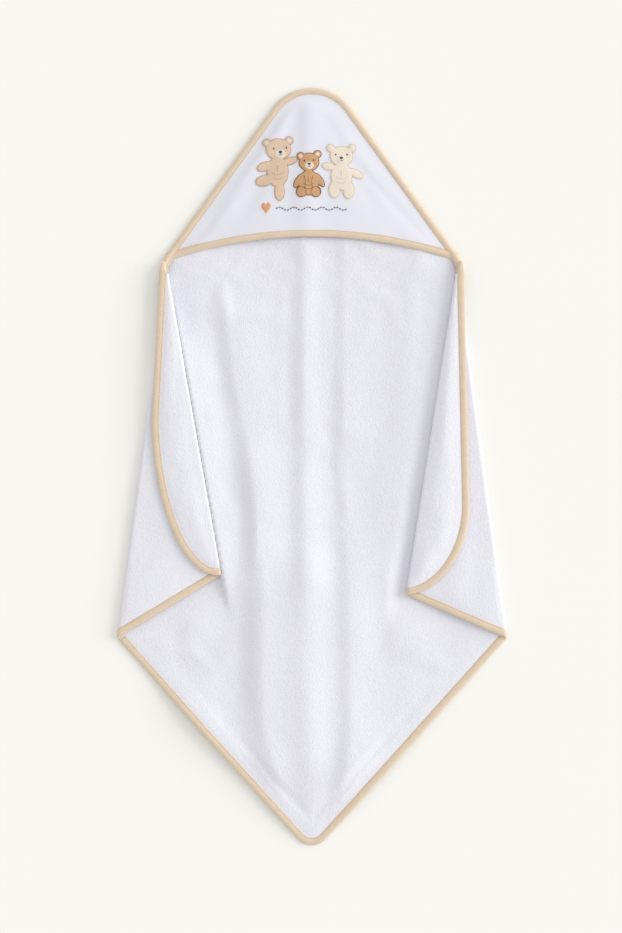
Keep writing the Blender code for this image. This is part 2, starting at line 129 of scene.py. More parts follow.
def rounded(before, corner, after, radius, steps=24):
    corner = Vector(corner)
    back = (Vector(before) - corner).normalized()
    on = (Vector(after) - corner).normalized()
    half = back.angle(on) / 2
    middle = corner + (back + on).normalized() * radius / math.sin(half)
    start = corner + back * radius / math.tan(half) - middle
    turn = -(math.pi - 2 * half) if back.x * on.y - back.y * on.x > 0 else math.pi - 2 * half
    points = []
    for i in range(steps + 1):
        angle = turn * i / steps
        points.append((middle.x + start.x * math.cos(angle) - start.y * math.sin(angle),
                       middle.y + start.x * math.sin(angle) + start.y * math.cos(angle)))
    return points


def crossing(half_x, side_y, tip_y, radius):
    """The y where two mirrored edges through (half_x, side_y) would cross, if a rounded tip ends at tip_y."""
    low, high = 0.0, 3 * radius
    for _ in range(60):
        extra = (low + high) / 2
        half = math.atan2(half_x, tip_y + extra - side_y)
        low, high = (extra, high) if extra < radius * (1 / math.sin(half) - 1) else (low, extra)
    return tip_y + low


APEX_Y = crossing(HOOD_CORNER[0], HOOD_CORNER[1], HALF_LENGTH, HOOD_TIP_RADIUS)
BOTTOM_Y = -crossing(OUTER_FOLD_FOOT[0], -OUTER_FOLD_FOOT[1], HALF_LENGTH, BOTTOM_CORNER_RADIUS)
LEAN = math.atan2(HOOD_CORNER[0], APEX_Y - HOOD_CORNER[1])


def side(point, hand):
    return (hand * point[0], point[1])


corner_right, corner_left = side(HOOD_CORNER, RIGHT), side(HOOD_CORNER, LEFT)
foot_right, foot_left = side(OUTER_FOLD_FOOT, RIGHT), side(OUTER_FOLD_FOOT, LEFT)
legs = [corner_right, *rounded(corner_right, (0, APEX_Y), corner_left, HOOD_TIP_RADIUS, 40), corner_left]
CORNER_RADIUS = 0.045
corner_arcs = {hand: rounded((0, APEX_Y), side(HOOD_CORNER, hand), side(FLAP_SHOULDER[hand], hand),
                             CORNER_RADIUS) for hand in (LEFT, RIGHT)}
bottom = [foot_left, *rounded(foot_left, (0, BOTTOM_Y), foot_right, BOTTOM_CORNER_RADIUS), foot_right]


def resample(points, step):
    """A polyline's points spaced evenly by about one step."""
    points = np.asarray(points, float)
    run = length_along(points)
    count = max(2, int(round(run[-1] / step)) + 1)
    at = np.linspace(0, run[-1], count)
    return np.stack([np.interp(at, run, points[:, k]) for k in range(points.shape[1])], 1)


def distance_to(points, line):
    """How far each (x, y) or (x, y, z) is from a polyline."""
    points, line = np.asarray(points, float), np.asarray(line, float)
    best = np.full(len(points), 1e9)
    for a, b in zip(line[:-1], line[1:]):
        along = b - a
        t = np.clip(((points - a) @ along) / max(along @ along, 1e-18), 0, 1)
        gap = points - a - t[:, None] * along
        best = np.minimum(best, np.einsum("ij,ij->i", gap, gap))
    return np.sqrt(best)


# Meshes from regular grids of points.

def new_mesh(name, vertices, faces, smooth_faces=True):
    data = bpy.data.meshes.new(name)
    data.from_pydata(np.asarray(vertices).tolist(), [], faces if isinstance(faces, list) else faces.tolist())
    mesh = bmesh.new()
    mesh.from_mesh(data)
    bmesh.ops.remove_doubles(mesh, verts=mesh.verts, dist=1e-6)
    bmesh.ops.dissolve_degenerate(mesh, edges=mesh.edges, dist=1e-7)
    bmesh.ops.recalc_face_normals(mesh, faces=mesh.faces)
    mesh.to_mesh(data)
    mesh.free()
    data.polygons.foreach_set("use_smooth", [smooth_faces] * len(data.polygons))
    obj = bpy.data.objects.new(name, data)
    bpy.context.scene.collection.objects.link(obj)
    return obj


def normals_of(grid):
    down = np.gradient(grid, axis=0)
    across = np.gradient(grid, axis=1)
    normal = np.cross(across, down)
    size = np.linalg.norm(normal, axis=2, keepdims=True)
    return normal / np.maximum(size, 1e-12)


def grid_quads(rows, columns, first=0, wrap=False):
    index = np.arange(rows * columns).reshape(rows, columns) + first
    if wrap:
        index = np.concatenate([index, index[:, :1]], 1)
    return np.stack([index[:-1, :-1], index[:-1, 1:], index[1:, 1:], index[1:, :-1]], -1).reshape(-1, 4)


def layer(name, top, under):
    """A closed sheet between two grids of points."""
    rows, columns = top.shape[:2]
    count = rows * columns
    index = np.arange(count).reshape(rows, columns)
    rim = np.concatenate([index[0, :-1], index[:-1, -1], index[-1, :0:-1], index[:0:-1, 0]])
    walls = np.stack([rim, np.roll(rim, -1), np.roll(rim, -1) + count, rim + count], 1)
    faces = np.concatenate([grid_quads(rows, columns), grid_quads(rows, columns, count)[:, ::-1], walls])
    return new_mesh(name, np.concatenate([top.reshape(-1, 3), under.reshape(-1, 3)]), faces)


def noise_at(points, scale, seed):
    offset = Vector((seed * 7.31, seed * 3.17, seed * 5.77))
    flat = points.reshape(-1, 3)
    made = [noise.noise(Vector(p) / scale + offset) for p in flat.tolist()]
    return np.array(made).reshape(points.shape[:-1])


def terry_layer(name, middle, half, seed, floor=None, cut=None):
    """Terry cloth of that half thickness about a grid of middle points, with a nubbly pile on both faces."""
    normal = normals_of(middle)
    lumps = 0.11 * MM * noise_at(middle, 0.0065, seed) + 0.20 * MM * noise_at(middle, 0.019, seed + 1)
    under_lumps = 0.22 * MM * noise_at(middle, 0.0065, seed + 2)
    pile = np.clip((half - HALF_PRESSED) / (HALF_TERRY - HALF_PRESSED), 0, 1)
    top = middle + normal * (half + lumps * pile)[..., None]
    under = middle - normal * (half + under_lumps * pile)[..., None]
    if floor is not None:
        for face in (top, under):
            face[..., 2] = np.maximum(face[..., 2], floor)
    if cut is None:
        return layer(name, top, under)
    return [layer(n, top[:, a:b], under[:, a:b]) for n, a, b in cut]


def refine(grid, times, axis):
    """Catmull-Rom points between the grid's own, along one axis."""
    grid = np.moveaxis(grid, axis, 0)
    padded = np.concatenate([2 * grid[:1] - grid[1:2], grid, 2 * grid[-1:] - grid[-2:-1]])
    at = np.arange((len(grid) - 1) * times + 1) / times
    i = np.minimum(at.astype(int), len(grid) - 2)
    t = (at - i).reshape(-1, *[1] * (grid.ndim - 1))
    p0, p1, p2, p3 = (padded[i + k] for k in range(4))
    made = 0.5 * (2 * p1 + (p2 - p0) * t + (2 * p0 - 5 * p1 + 4 * p2 - p3) * t ** 2
                  + (3 * p1 - p0 - 3 * p2 + p3) * t ** 3)
    return np.moveaxis(made, 0, axis)


# Materials.

def shader_of(name, roughness, sheen=0.0, sheen_tint=(1, 1, 1)):
    made = bpy.data.materials.new(name)
    made.use_nodes = True
    shader = made.node_tree.nodes["Principled BSDF"]
    shader.inputs["Roughness"].default_value = roughness
    shader.inputs["Specular IOR Level"].default_value = 0.25
    shader.inputs["Sheen Weight"].default_value = sheen
    shader.inputs["Sheen Roughness"].default_value = 0.45
    shader.inputs["Sheen Tint"].default_value = (*sheen_tint, 1)
    return made, made.node_tree, shader


def node(tree, kind, inputs=None, **settings):
    made = tree.nodes.new(kind)
    for key, value in settings.items():
        setattr(made, key, value)
    for key, value in (inputs or {}).items():
        if isinstance(value, bpy.types.NodeSocket):
            tree.links.new(value, made.inputs[key])
        else:
            made.inputs[key].default_value = value
    return made


def object_space(tree):
    return node(tree, "ShaderNodeTexCoord").outputs["Object"]


def noise_node(tree, place, scale, detail, **more):
    sockets = {"Vector": place, "Scale": scale, "Detail": detail, **more}
    return node(tree, "ShaderNodeTexNoise", sockets).outputs["Fac"]


def wave_node(tree, place, thread, distortion, detail, axis="X", **more):
    """Bands of threads side by side. Blender's wave has 20 / tau bands for each unit of scale."""
    sockets = {"Vector": place, "Scale": math.tau / (20 * thread), "Distortion": distortion, "Detail": detail,
               **more}
    return node(tree, "ShaderNodeTexWave", sockets, wave_type="BANDS", bands_direction=axis).outputs["Fac"]


def mixed(tree, a, a_share, b, b_share):
    a_part, b_part = (math_node(tree, "MULTIPLY", *pair) for pair in ((a, a_share), (b, b_share)))
    return math_node(tree, "ADD", a_part, b_part)


def tinted(tree, shader, factor, dark, light):
    mix = node(tree, "ShaderNodeMix", data_type="RGBA")
    tree.links.new(factor, mix.inputs["Factor"])
    mix.inputs[6].default_value = (*dark, 1)
    mix.inputs[7].default_value = (*light, 1)
    tree.links.new(mix.outputs[2], shader.inputs["Base Color"])
    return mix


def bumped(tree, shader, layers):
    """Chained bump nodes: (height socket, strength, distance)."""
    last = None
    for height, strength, distance in layers:
        bump = node(tree, "ShaderNodeBump", {"Height": height, "Strength": strength, "Distance": distance})
        if last:
            tree.links.new(last.outputs["Normal"], bump.inputs["Normal"])
        last = bump
    tree.links.new(last.outputs["Normal"], shader.inputs["Normal"])


def math_node(tree, operation, a, b):
    return node(tree, "ShaderNodeMath", {0: a, 1: b}, operation=operation).outputs[0]


def terry_material(name, light, dark, loop=0.0021, strength=0.8):
    """Loop pile: crowded little tufts, uneven rows of them, and a soft change of tone. Its colour is darker
    towards each tuft's rim, where the bump is low: painted shade between the tufts. The clumps and broad
    patches are random tone.
    """
    made, tree, shader = shader_of(name, 0.95, 0.35)
    place = object_space(tree)
    tufts = node(tree, "ShaderNodeTexVoronoi", {"Vector": place, "Scale": 1 / loop, "Randomness": 1.0})
    fuzz = noise_node(tree, place, 700.0, 3.0, Roughness=0.6)
    clumps = noise_node(tree, place, 190.0, 2.0)
    broad = noise_node(tree, place, 14.0, 2.0)
    # Darker between the tufts, where the dome's bump is low: painted shade in the pile's hollows, mixed with
    # random tone from the clumps and the broad noise.
    dome = math_node(tree, "SUBTRACT", 1.0, tufts.outputs["Distance"])
    shade = math_node(tree, "MULTIPLY", dome, clumps)
    shade = math_node(tree, "ADD", shade, math_node(tree, "MULTIPLY", broad, 0.35))
    tinted(tree, shader, shade, dark, light)
    bumped(tree, shader, [(clumps, 0.35 * strength, 0.0014), (dome, 0.8 * strength, 0.0008),
                          (fuzz, 0.5 * strength, 0.0005)])
    return made


def velour_material(name, light, dark):
    made, tree, shader = shader_of(name, 0.85, 0.5)
    place = object_space(tree)
    pile = noise_node(tree, place, 1400.0, 3.0, Roughness=0.7)
    brushed = noise_node(tree, place, 45.0, 4.0, Distortion=0.4)
    tinted(tree, shader, mixed(tree, pile, 0.5, brushed, 0.5), dark, light)
    bumped(tree, shader, [(brushed, 0.12, 0.002), (pile, 0.35, 0.0003)])
    return made


def woven_material(name, light, dark, thread=0.0006, bump=0.5, roughness=0.8, sheen=0.25):
    """A plain weave of fine yarns, from crossed bands in space, so it needs no UVs."""
    made, tree, shader = shader_of(name, roughness, sheen)
    place = object_space(tree)
    warp = wave_node(tree, place, thread, 0.6, 1.0)
    weft = wave_node(tree, place, thread, 0.6, 1.0, "Y")
    slub = noise_node(tree, place, 120.0, 4.0)
    # Lighter where the warp and weft bands cross and darker between them, where the bump is low: painted
    # shade in the weave's gaps, mixed with the slub's random tone.
    weave = math_node(tree, "MULTIPLY", warp, weft)
    tinted(tree, shader, mixed(tree, weave, 0.4, slub, 0.7), dark, light)
    bumped(tree, shader, [(slub, 0.25, 0.0008), (weave, bump, 0.00025)])
    return made


def satin_material(name, light, dark, tilt=0.3):
    """Satin stitch: close parallel threads, each catching the light a little differently."""
    made, tree, shader = shader_of(name, 0.6, 0.35)
    place = object_space(tree)
    turned = node(tree, "ShaderNodeMapping", {"Vector": place, "Rotation": (0, 0, tilt)})
    threads = wave_node(tree, turned.outputs[0], 0.0008, 1.5, 2.0, **{"Detail Scale": 2.0})
    fibre = noise_node(tree, place, 420.0, 3.0)
    tinted(tree, shader, mixed(tree, threads, 0.5, fibre, 0.6), dark, light)
    bumped(tree, shader, [(fibre, 0.4, 0.0005), (threads, 0.6, 0.0003)])
    return made


terry = terry_material("terry_cloth", (0.825, 0.82, 0.875), (0.72, 0.715, 0.77), strength=0.5)
lining_terry = terry_material("lining_terry", (0.78, 0.78, 0.86), (0.64, 0.64, 0.74), 0.0016, 0.5)
velour = velour_material("hood_velour", (0.775, 0.77, 0.83), (0.715, 0.71, 0.77))
tape_cloth = woven_material("binding_cotton", (0.80, 0.655, 0.50), (0.67, 0.53, 0.39))
tape_thread = woven_material("binding_thread", (0.76, 0.61, 0.45), (0.62, 0.48, 0.34), 0.0004, 0.6, 0.6)
dark_thread = satin_material("dark_thread", (0.11, 0.085, 0.085), (0.05, 0.038, 0.04), 0.9)
backing_cloth = woven_material("backing_cloth", (0.80, 0.80, 0.82), (0.68, 0.68, 0.72), 0.0009, 0.4, 0.9)


def finish(obj, look, body=None, replaced=()):
    obj.data.materials.clear()
    obj.data.materials.append(look)
    if body:
        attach(obj, body)
    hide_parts(*replaced)
    return obj


# The hood's surface.

def hood_half_width(y):
    return (APEX_Y - y) * HOOD_CORNER[0] / (APEX_Y - HOOD_CORNER[1])


def front_height(x, margin=0.0):
    slope_here = 2 * HOOD_ARCH * x / HOOD_CORNER[0] ** 2
    return HOOD_CORNER[1] + HOOD_ARCH * (1 - (x / HOOD_CORNER[0]) ** 2) + margin * np.hypot(1, slope_here)


def above_front(x, y):
    """How far above the hood's front edge a point is."""
    return y - front_height(np.clip(x, -HOOD_CORNER[0], HOOD_CORNER[0]))


def from_seam(x, y):
    """How far inside the hood's seamed edge a point is."""
    x, y = np.broadcast_arrays(np.asarray(x, float), np.asarray(y, float))
    points = np.stack([x.ravel(), y.ravel()], 1)
    return distance_to(points, legs).reshape(x.shape)


def bump_line(x, y, start, end, half, height):
    """A soft ridge (or, with a negative height, a valley) from start to end, fading at both ends."""
    t, off = along_and_off(x, y, start, end)
    ends = smooth((t + 0.02) / 0.18) * smooth((1.1 - t) / 0.3)
    return height * np.exp(-(off / half) ** 2) * ends


HOOD_CREASES = [  # start, end, half width, height
    ((-0.004, 0.492), (-0.008, 0.300), 0.015, 0.0017),
    ((-0.014, 0.478), (-0.036, 0.330), 0.012, -0.0012),
    ((-0.022, 0.474), (-0.128, 0.312), 0.009, 0.0014),
    ((-0.018, 0.466), (-0.096, 0.318), 0.009, -0.0009),
    ((0.020, 0.474), (0.124, 0.318), 0.012, -0.0004),
    ((0.012, 0.470), (0.088, 0.330), 0.010, -0.0008),
    ((0.055, 0.400), (0.150, 0.296), 0.007, -0.0008),
    ((-0.060, 0.400), (-0.160, 0.290), 0.007, -0.0007),
]


def hood_creases(x, y):
    made = sum(bump_line(x, y, *one) for one in HOOD_CREASES)
    return made * smooth((from_seam(x, y) - SEAM_MARGIN) / 0.012)


HOOD_SHARE = 0.34               # of the CAD dome's rise, as the cloth lies flatter
HOOD_RISE_TOP_Y = 0.485         # the rise starts below this y
HOOD_RISE_LENGTH = 0.184
HOOD_TOP_OFFSET = 0.00055       # from the outer panel's middle to just above its face


def hood_lift(x, y):
    to_seam = from_seam(x, y) - SEAM_MARGIN
    shoulder = 0.034 + 0.48 * np.maximum(0, 0.431 - y)
    share = smooth((to_seam + 0.004) / shoulder)
    rise = HOOD_SHARE * HOOD_RISE * np.maximum(0, HOOD_RISE_TOP_Y - y) / HOOD_RISE_LENGTH
    return rise * share


def hood_middle(x, y, at_seam, inside):
    """Height of one of the hood's layers: pressed at the seam, and on the dome inside it."""
    base = at_seam + (inside - at_seam) * smooth((from_seam(x, y) - 0.007) / 0.024)
    return base + hood_lift(x, y) + hood_creases(x, y)


def outer_middle(x, y):
    return hood_middle(x, y, OUTER_SEAM_Z, HOOD_BASE + OUTER_OFFSET + HALF_HOOD_CLOTH)


def lining_middle(x, y):
    return hood_middle(x, y, LINING_SEAM_Z, HOOD_BASE + HALF_HOOD_CLOTH)


def hood_top(x, y):
    return outer_middle(x, y) + HOOD_TOP_OFFSET


# The centre panel's soft ridges: the crest's line as (y, x), its widths to the left and right, its height.
SOFT_RIDGES = [
    ([(0.32, -0.009), (0.05, -0.008), (-0.16, -0.006)], 0.016, 0.026, 0.0060),
    ([(-0.12, -0.006), (-0.30, -0.004), (-0.49, -0.003)], 0.020, 0.022, 0.0032),
    ([(0.32, 0.046), (0.05, 0.044), (-0.15, 0.050), (-0.35, 0.053), (-0.49, 0.034)], 0.014, 0.034, 0.0042),
    ([(0.24, -0.112), (0.167, -0.106), (0.087, -0.094), (0.008, -0.079), (-0.07, -0.069), (-0.13, -0.070)],
     0.016, 0.055, 0.0064),
    ([(0.03, -0.082), (-0.03, -0.073), (-0.09, -0.070), (-0.14, -0.072)], 0.015, 0.050, 0.0050),
    ([(-0.11, -0.060), (-0.20, -0.062), (-0.33, -0.062), (-0.43, -0.036)], 0.027, 0.150, 0.0120),
    ([(0.30, 0.136), (0.09, 0.126), (-0.06, 0.108), (-0.17, 0.092)], 0.032, 0.022, 0.0042),
    ([(-0.18, 0.122), (-0.26, 0.130), (-0.33, 0.112)], 0.034, 0.030, 0.0026),
    ([(-0.18, -0.146), (-0.24, -0.152), (-0.31, -0.128)], 0.026, 0.024, 0.0032),
]


def soft_ridges(x, y):
    made = np.zeros_like(x)
    for line, left, right, height in SOFT_RIDGES:
        at = sorted(line)
        top = np.interp(y, [p[0] for p in at], [p[1] for p in at])
        ends = smooth((y - at[0][0] + 0.03) / 0.08) * smooth((at[-1][0] + 0.03 - y) / 0.08)
        off = x - top
        made += height * np.exp(-(off / np.where(off < 0, left, right)) ** 2) * ends
    return made


BOTTOM_LIFT = {LEFT: 0.0058, RIGHT: 0.0034}


def bottom_lift(x, y):
    """The bottom edges stand a little off the surface between their ends."""
    made = 0.0
    for hand, peak in BOTTOM_LIFT.items():
        t, off = along_and_off(x, y, side(OUTER_FOLD_FOOT, hand), (0, BOTTOM_Y))
        wave = 1 + 0.35 * np.sin(9.0 * t + 2.0 * hand)
        ends = smooth((t - 0.05) / 0.35) * smooth((0.97 - t) / 0.22)
        made = made + peak * wave * ends * (1 - smooth(np.abs(off) / 0.075))
    return made


FOLD_ROLL = 0.0092              # how far the centre rolls up against the left inner fold


def centre_height(x, y, edge_gap):
    """Height of the centre panel's middle above its flat lie."""
    made = soft_ridges(x, y)
    for hand in (LEFT, RIGHT):
        gap = fold_gap(x, y, hand)
        foot_y = INNER_FOLD_FOOT[hand][1]
        beside = smooth((y - foot_y + 0.05) / 0.05)
        made *= 1 - beside * (1 - smooth((gap - 0.004) / 0.022))
        below = smooth((foot_y + 0.05 - y) / 0.06)
        outside = smooth((np.abs(x) - 0.16) / 0.03)
        made *= 1 - below * outside * 0.6 * (x * hand > 0)
    gap = fold_gap(x, y, LEFT)
    share = smooth((0.235 - y) / 0.12) * smooth((y + 0.200) / 0.06)
    width = 0.040 + 0.022 * smooth((0.20 - y) / 0.20)
    slope = (1 - np.clip(gap / width, 0, 1)) ** 1.2
    made += FOLD_ROLL * smooth((gap + 0.0018) / 0.0026) * slope * share
    under_hood = smooth((above_front(x, y) + 0.01) / 0.06)
    made *= 1 - 0.85 * under_hood
    return made * smooth((edge_gap - 0.010) / 0.030) + bottom_lift(x, y)


def fold_gap(x, y, hand):
    head, foot = np.array(FOLD_HEAD), np.array(INNER_FOLD_FOOT[hand])
    along = (foot - head) / np.linalg.norm(foot - head)
    return -((x * hand - head[0]) * -along[1] + (y - head[1]) * along[0])


# Folded sides. A side's cloth runs from the outer fold's loop over the wing to the inner fold's loop and
# the flap. Its rows fan out from the fold head, and its columns run down to the bound edge.

def unit(v):
    v = np.asarray(v, float)
    return v / np.linalg.norm(v)


class Side:
    """The lines that a folded side corner is built on, in the plane, and the path of its bound edge."""

    def __init__(self, hand):
        self.hand = hand
        self.head = np.array(side(FOLD_HEAD, hand))
        self.outer_foot = np.array(side(OUTER_FOLD_FOOT, hand))
        self.inner_foot = np.array(side(INNER_FOLD_FOOT[hand], hand))
        self.outer_down = unit(self.outer_foot - self.head)
        self.inner_down = unit(self.inner_foot - self.head)
        self.outer_in = -hand * np.array([-self.outer_down[1], self.outer_down[0]])
        self.outer_in = self.outer_in if self.outer_in[0] * hand < 0 else -self.outer_in
        self.inner_out = np.array([-self.inner_down[1], self.inner_down[0]])
        self.inner_out = self.inner_out if self.inner_out[0] * hand > 0 else -self.inner_out
        shoulder = side(FLAP_SHOULDER[hand], hand)
        handles = [side(p, hand) for p in FLAP_HANDLES[hand][::-1]]
        knots = [Vector(p) for p in (self.inner_foot, *handles, shoulder)]
        curve = [(p.x, p.y) for p in interpolate_bezier(*knots, 60)]
        self.edge = resample(curve + corner_arcs[hand][:8:-1], 0.0015)
        bottom_along = unit(self.outer_foot - np.array([0, BOTTOM_Y]))
        self.start = self.outer_foot - bottom_along * LOOP_SETBACK / abs(bottom_along @ self.outer_in)
        wing_along = unit(self.inner_foot - self.outer_foot)
        self.turn = self.inner_foot - wing_along * LOOP_SETBACK / abs(wing_along @ self.inner_out)
        turn_flat = mirrored([self.turn], self.head, self.outer_in)
        self.wing_path = resample(np.array([self.start, self.outer_foot, turn_flat[0]]), 0.0004)
        flap_edge = mirrored(self.edge, self.head, self.inner_out)[1:]
        self.flap_path = resample([self.turn, self.inner_foot, *flap_edge], 0.0004)

    def wing_place(self, points, share=None):
        """Where flat cloth beyond the outer fold goes: the loop, and then the wing."""
        return folded(points, self.head, -self.outer_in, TAPE_Z, WING_Z, 1, self.wing_lift)

    def flap_place(self, points, share=None):
        """Where the wing's cloth beyond the inner fold goes: the loop, and then the flap."""
        return folded(points, self.head, -self.inner_out, WING_Z, FLAP_Z, -1, None)

    def wing_lift(self, points):
        """How far the wing springs up between its corner and where the flap lies on it."""
        along = self.inner_foot - self.outer_foot
        t = ((points - self.outer_foot) @ along) / (along @ along)
        across = np.abs((points - self.outer_foot) @ unit([-along[1], along[0]]))
        ends = smooth(t / 0.3) * smooth((WING_LIFT_END[self.hand] - t) / 0.3)
        return WING_LIFT[self.hand] * ends * (1 - smooth(across / 0.11))


WING_LIFT = {LEFT: 0.0018, RIGHT: 0.0024}
WING_LIFT_END = {LEFT: 0.82, RIGHT: 0.86}


def mirrored(points, head, across):
    """Points turned over a fold line through head, given the direction across it."""
    points = np.asarray(points, float)
    return points - 2 * np.outer((points - head) @ across, across)


def folded(points, head, out, low, high, face, lift):
    """Lays flat cloth round a fold's loop. Returns its middle surface, and its first face's normals."""
    u = (points - head) @ out
    angle = np.pi * (np.clip((u + LOOP_SETBACK) / (2 * LOOP_SETBACK), 0, 1) - 0.5)
    loop = -LOOP_SETBACK + LOOP_RADIUS * np.cos(angle)
    gap = np.where(u < -LOOP_SETBACK, u, np.where(u > LOOP_SETBACK, -u, loop))
    flat = points + np.outer(gap - u, out)
    z = (low + high) / 2 + (high - low) / 2 * np.sin(angle)
    if lift is not None:
        z = z + np.where(u > 0, lift(flat), 0)
    normal = face * np.concatenate([-np.outer(np.cos(angle), out), -np.sin(angle)[:, None]], 1)
    return np.concatenate([flat, z[:, None]], 1), normal


FAN_START = 0.022               # share of a fold's length where the side's cloth begins, below the fold head


def side_grid(s, rows, wing_columns, flap_columns, loop_columns):
    """Middle points of a side's cloth, and the first column of the inner loop."""
    v = FAN_START + (1 - FAN_START) * np.linspace(0, 1, rows)
    outer = s.head + (s.outer_foot - s.head) * v[:, None]
    inner = s.head + (s.inner_foot - s.head) * v[:, None]
    width = np.linalg.norm(outer - inner, axis=1)
    c = np.minimum(LOOP_SETBACK, 0.36 * width)[:, None]
    wing_along = unit(s.inner_foot - s.outer_foot)
    bottom_along = unit(s.outer_foot - np.array([0, BOTTOM_Y]))
    lower = (v ** 6)[:, None]
    b_start = outer + s.outer_in * c
    shift_start = -(bottom_along @ s.outer_down) / abs(bottom_along @ s.outer_in)
    shift_first = (wing_along @ s.outer_down) / (wing_along @ s.outer_in)
    b_start = b_start + lower * s.outer_down * (shift_start * c - TUCK)
    w_start = outer + s.outer_in * c + lower * s.outer_down * (shift_first * c - TUCK)
    shift_last = -(wing_along @ s.inner_down) / abs(wing_along @ s.inner_out)
    w_end = inner + s.inner_out * c + lower * s.inner_down * (shift_last * c - TUCK)
    flap_start = inner + s.inner_out * c - lower * s.inner_down * (TUCK + 0.001)
    along = directions(s.edge)
    inward = s.hand * np.stack([-along[:, 1], along[:, 0]], 1)
    tucked = s.edge + inward * TUCK
    run = length_along(tucked)
    keep = 0.010 + (run[-1] - 0.022 - 0.010) * (1 - (v - v[0]) / (v[-1] - v[0])) ** 0.92
    flap_end = np.stack([np.interp(keep, run, tucked[:, k]) for k in (0, 1)], 1)
    columns = []
    radius = (c / LOOP_SETBACK) * LOOP_RADIUS

    def add(flat, z):
        columns.append(np.concatenate([flat, np.full((rows, 1), z)], 1))

    def add_loop(first, last, across, hinge_z):
        for i in range(loop_columns + 1):
            share = i / loop_columns
            angle = math.pi * (share - 0.5)
            flat = first + (last - first) * share - across * radius * math.cos(angle)
            add(flat, hinge_z + LOOP_RADIUS * math.sin(angle))

    add_loop(b_start, w_start, s.outer_in, OUTER_HINGE_Z)
    for i in range(1, wing_columns):
        add(w_start + (w_end - w_start) * (i / wing_columns), WING_Z)
    loop_first = len(columns)
    add_loop(w_end, flap_start, s.inner_out, INNER_HINGE_Z)
    for i in range(1, flap_columns + 1):
        add(flap_start + (flap_end - flap_start) * (i / flap_columns), FLAP_Z)
    return np.stack(columns, 1), loop_first


# Binding tape and its stitches.

TAPE_PROFILE = [  # inwards from the edge, and out from the middle as a share of the half thickness
    (1.00, 0.36), (0.975, 0.50), (0.90, 0.62), (0.84, 0.64), (0.76, 0.78), (0.60, 0.96), (0.44, 1.04),
    (0.28, 0.97), (0.15, 0.78), (0.06, 0.52), (0.015, 0.27), (0.0, 0.0),
]
TAPE_SLOT = [(0.985, -0.36), (0.60, -0.56), (0.20, -0.45), (0.12, 0.0), (0.20, 0.45), (0.60, 0.56),
             (0.985, 0.36)]


TAPE_WANDER = 0.0004            # how much the tape's width changes along it
TAPE_PUCKER = 0.00010           # how much its thickness changes at the stitches


def ribbon(path, place, hand, a):
    """Points at distance a inwards from a flat path, put in place, with the surface's normals there."""
    along = directions(path)
    inward = hand * np.stack([-along[:, 1], along[:, 0]], 1)
    run = np.linspace(0, 1, len(path))
    return place(path + inward * np.reshape(a, (-1, 1)), run)


def half_of(half, share):
    return half(share) if callable(half) else np.full(np.shape(share), half)


def tape(name, path, place, hand, half, seed=0):
    """Folded tape along its outer edge: a U that is open inwards, with puckers where the stitches pull it."""
    path = resample(path, TAPE_STEP)
    count = len(path)
    thick = half_of(half, np.linspace(0, 1, count))
    profile = TAPE_PROFILE + [(a, -b) for a, b in TAPE_PROFILE[-2::-1]] + TAPE_SLOT
    wide = np.array([noise.noise(Vector((i * 0.10, seed, 0.3))) for i in range(count)]) * TAPE_WANDER
    pucker = np.where(np.arange(count) % 2 == 0, 1.0, -1.0) * TAPE_PUCKER
    ring = []
    for a, b in profile:
        middle, normal = ribbon(path, place, hand, a * (BINDING_WIDTH + wide))
        stitched = math.exp(-((a - 0.84) / 0.07) ** 2)
        ring.append(middle + normal * (b * thick + np.sign(b) * pucker * stitched)[:, None])
    grid = np.stack(ring, 1)
    faces = grid_quads(count, len(profile), 0, True).tolist()
    around, last_outer = len(profile), 2 * len(TAPE_PROFILE) - 2
    slots = len(TAPE_SLOT)
    for row in (0, count - 1):
        base = row * around
        for i in range(slots - 1):
            t0 = last_outer - round(i * last_outer / (slots - 1))
            t1 = last_outer - round((i + 1) * last_outer / (slots - 1))
            cap = [base + t for t in range(t0, t1 - 1, -1)]
            cap += [base + last_outer + 1 + i + 1, base + last_outer + 1 + i]
            faces.append(cap if row == 0 else cap[::-1])
    return new_mesh(name, grid.reshape(-1, 3), faces)


def stitches(name, path, place, hand, half, pitch=0.0032, length=0.0025, radius=0.00027, sides=6):
    """Separate lockstitches lying on both faces of the tape, each dipping in at both ends."""
    path = resample(path, 0.0004)
    line, normal = ribbon(path, place, hand, STITCH_INSET)
    along = directions(line)
    across = np.cross(normal, along)
    run = length_along(line)
    thick = half_of(half, run / run[-1]) * 0.76
    vertices, made = [], []

    def at(values, place_on):
        return np.array([np.interp(place_on, run, values[:, j]) for j in range(values.shape[1])])

    data = np.concatenate([line, normal, across, thick[:, None]], 1)
    for number in range(int(run[-1] / pitch)):
        for face in (1, -1):
            first = len(vertices)
            for k in range(5):
                share = k / 4
                here = at(data, number * pitch + 0.0003 + length * share)
                lift = here[9] + radius * (0.35 - 1.1 * (2 * share - 1) ** 4)
                size = radius * (0.55 if k in (0, 4) else 1.0)
                for m in range(sides):
                    angle = math.tau * m / sides
                    vertices.append(here[:3] + here[3:6] * face * (lift + size * math.sin(angle))
                                    + here[6:9] * size * math.cos(angle))
            for k in range(4):
                for m in range(sides):
                    a, b = first + k * sides + m, first + k * sides + (m + 1) % sides
                    made.append([a, b, b + sides, a + sides])
            made.append([first + m for m in range(sides)][::-1])
            made.append([first + 4 * sides + m for m in range(sides)])
    return new_mesh(name, np.array(vertices), made)


def level_place(height):
    """A tape that lies level: height is a number, or a function of the flat points and the share along it."""
    def place(points, share):
        z = height(points, share) if callable(height) else np.full(len(points), height)
        return np.concatenate([points, z[:, None]], 1), np.tile([0.0, 0.0, 1.0], (len(points), 1))
    return place


